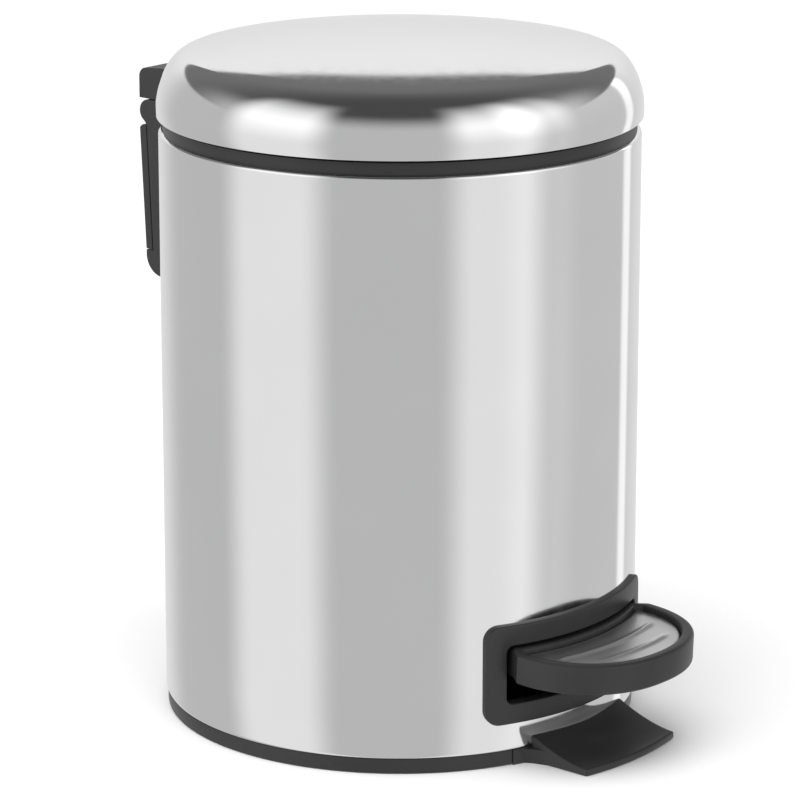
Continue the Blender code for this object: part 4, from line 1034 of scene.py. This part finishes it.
def make_camera():
    camera = bpy.data.cameras.new("camera")
    camera.lens = CAMERA_LENS
    camera.sensor_width = 36
    camera.clip_start, camera.clip_end = 0.01, 50
    holder = bpy.data.objects.new("camera", camera)
    bpy.context.scene.collection.objects.link(holder)
    back = Vector((-math.sin(CAMERA_HEADING), -math.cos(CAMERA_HEADING), 0))
    holder.location = back * CAMERA_REACH + Vector((0, 0, CAMERA_HEIGHT))
    holder.rotation_euler = (math.pi / 2 - CAMERA_PITCH, 0, -CAMERA_HEADING)
    bpy.context.scene.camera = holder


# Soft panels that stand round the bin. Each has its middle, half width and softness in degrees, from the
# camera's side to the camera's right, and what it adds to the room's light low down and high up.
PANELS = (
    (-62, 14, 19, 0.36, 0.80),
    (47, 12, 18, 0.34, 0.72),
    (70, 8, 18, 0.10, 0.52),
    (105, 15, 25, 0.06, 0.12),
    (136, 2.5, 4, 0.45, 0.95),
    (178, 25, 30, 0.20, 0.42),
)
ROOM = 0.60
BACKDROP = 1.25  # seen directly, behind the floor's far edge
CEILING = (0.08, 0.19)  # from the near side to the far side
# Elevations between which one thing gives way to another.
CEILING_NEAR = (math.radians(19), math.radians(43))  # the room to the dark ceiling, on the camera's side
CEILING_FAR = (math.radians(25.5), math.radians(27.5))  # the same on the far side
CEILING_PANEL = (math.radians(34), math.radians(60))  # the panels, which stand taller
PANEL_RISE = (math.radians(-5), math.radians(28))  # a panel's lower to its upper brightness
FAR_ARCH = math.radians(8)  # how much lower the far side's light ends off to the sides
FAR_ARCH_WIDTH = math.radians(14)
FAR_SIDE = (math.radians(50), math.radians(95))  # from straight behind, the far side to the near one
CEILING_BLEND = (-0.4, 0.85)  # of the direction away from the camera


def make_world():
    """The studio round the bin: a light room with soft upright panels, under a dark ceiling."""
    world = bpy.data.worlds.new("studio")
    bpy.context.scene.world = world
    world.use_nodes = True
    nodes, links = world.node_tree.nodes, world.node_tree.links
    nodes.clear()

    def math_node(operation, *inputs):
        node = nodes.new("ShaderNodeMath")
        node.operation = operation
        for socket, value in zip(node.inputs, inputs):
            if isinstance(value, (int, float)):
                socket.default_value = value
            else:
                links.new(value, socket)
        return node.outputs[0]

    def ramp(value, start, end, first=0.0, last=1.0):
        node = nodes.new("ShaderNodeMapRange")
        node.interpolation_type = "SMOOTHSTEP"
        node.inputs["From Min"].default_value = start
        node.inputs["From Max"].default_value = end
        node.inputs["To Min"].default_value = first
        node.inputs["To Max"].default_value = last
        links.new(value, node.inputs["Value"])
        return node.outputs["Result"]

    direction = nodes.new("ShaderNodeTexCoord").outputs["Generated"]
    turn = nodes.new("ShaderNodeVectorRotate")
    turn.rotation_type = "Z_AXIS"
    turn.inputs["Angle"].default_value = CAMERA_HEADING
    links.new(direction, turn.inputs["Vector"])
    parts = nodes.new("ShaderNodeSeparateXYZ")
    links.new(turn.outputs["Vector"], parts.inputs[0])
    right, away, up = parts.outputs
    azimuth = math_node("ARCTAN2", right, math_node("MULTIPLY", away, -1.0))
    elevation = math_node("ARCSINE", up)
    light = None
    for middle, half, soft, bright, raised in PANELS:
        middle, half, soft = (math.radians(v) for v in (middle, half, soft))
        offset = math_node("SUBTRACT", azimuth, middle)
        wrapped = math_node("ABSOLUTE", math_node("WRAP", offset, math.pi, -math.pi))
        panel = ramp(wrapped, half, half + soft, 1.0, 0.0)
        panel = math_node("MULTIPLY", panel, ramp(elevation, *PANEL_RISE, bright, raised))
        light = panel if light is None else math_node("ADD", light, panel)
    tall = math_node("MULTIPLY", light, ramp(elevation, *CEILING_PANEL, 1.0, 0.0))
    near_ceiling = ramp(elevation, *CEILING_NEAR)
    aside = math_node("SUBTRACT", math.pi, math_node("ABSOLUTE", azimuth))
    far = ramp(aside, *FAR_SIDE, 1.0, 0.0)
    arch = ramp(aside, 0.0, FAR_ARCH_WIDTH, 0.0, FAR_ARCH)
    far_ceiling = ramp(math_node("ADD", elevation, arch), *CEILING_FAR)
    mix = nodes.new("ShaderNodeMix")
    mix.data_type = "FLOAT"
    links.new(far, mix.inputs["Factor"])
    links.new(near_ceiling, mix.inputs["A"])
    links.new(far_ceiling, mix.inputs["B"])
    blend = nodes.new("ShaderNodeMix")
    blend.data_type = "FLOAT"
    links.new(mix.outputs["Result"], blend.inputs["Factor"])
    blend.inputs["A"].default_value = ROOM
    links.new(ramp(away, *CEILING_BLEND, *CEILING), blend.inputs["B"])
    panels = math_node("MULTIPLY", tall, ramp(math_node("MULTIPLY", far, far_ceiling), 0.0, 1.0, 1.0, 0.0))
    total = math_node("ADD", blend.outputs["Result"], panels)
    surroundings = nodes.new("ShaderNodeBackground")
    links.new(total, surroundings.inputs["Color"])
    backdrop = nodes.new("ShaderNodeBackground")
    backdrop.inputs["Strength"].default_value = BACKDROP
    seen = nodes.new("ShaderNodeLightPath").outputs["Is Camera Ray"]
    choose = nodes.new("ShaderNodeMixShader")
    links.new(seen, choose.inputs["Fac"])
    links.new(surroundings.outputs[0], choose.inputs[1])
    links.new(backdrop.outputs[0], choose.inputs[2])
    links.new(choose.outputs[0], nodes.new("ShaderNodeOutputWorld").inputs["Surface"])


def make_light(name, place, size, power):
    """A soft square lamp that faces the bin and doesn't show in its steel."""
    lamp = bpy.data.lights.new(name, "AREA")
    lamp.shape = "SQUARE"
    lamp.size = size
    lamp.energy = power
    holder = bpy.data.objects.new(name, lamp)
    bpy.context.scene.collection.objects.link(holder)
    holder.location = place
    aim = Vector((0, 0, 0.1)) - holder.location
    holder.rotation_euler = aim.to_track_quat("-Z", "Y").to_euler()
    holder.visible_glossy = False


def make_sun(strength):
    """An even, very soft light from above, which keeps the floor pale out to the edges of the view."""
    lamp = bpy.data.lights.new("sky_light", "SUN")
    lamp.energy = strength
    lamp.angle = math.radians(120)
    holder = bpy.data.objects.new("sky_light", lamp)
    bpy.context.scene.collection.objects.link(holder)
    holder.rotation_euler = (math.radians(-18), math.radians(-24), 0)
    holder.visible_glossy = False


FLOOR_SIZE = 6


def make_floor():
    shape = bmesh.new()
    bmesh.ops.create_grid(shape, x_segments=1, y_segments=1, size=FLOOR_SIZE)
    floor = new_object("floor", shape)
    material, nodes, links, shader = shader_of("pale_floor", (0.92, 0.92, 0.92), 0.9)
    shader.inputs["Specular IOR Level"].default_value = 0.0
    links.new(
        tint(nodes, links, noise(nodes, links, 3, 2), (0.915, 0.915, 0.915), (0.925, 0.925, 0.925)),
        shader.inputs["Base Color"],
    )
    floor.data.materials.append(material)
    floor.visible_glossy = False


make_body()
make_base()
make_foot()
make_top_ring()
make_bucket()
make_handle()
make_lid()
make_liner()
make_hinge_cap()
make_bracket()
make_cover()
make_bezel()
make_pedal()
make_insert()
finish_cad_nodes()
make_camera()
make_world()
make_light("top_light", (-0.5, -0.3, 2.2), 1.6, 24)
make_sun(2.2)
make_floor()
bpy.context.scene.view_settings.view_transform = "Standard"
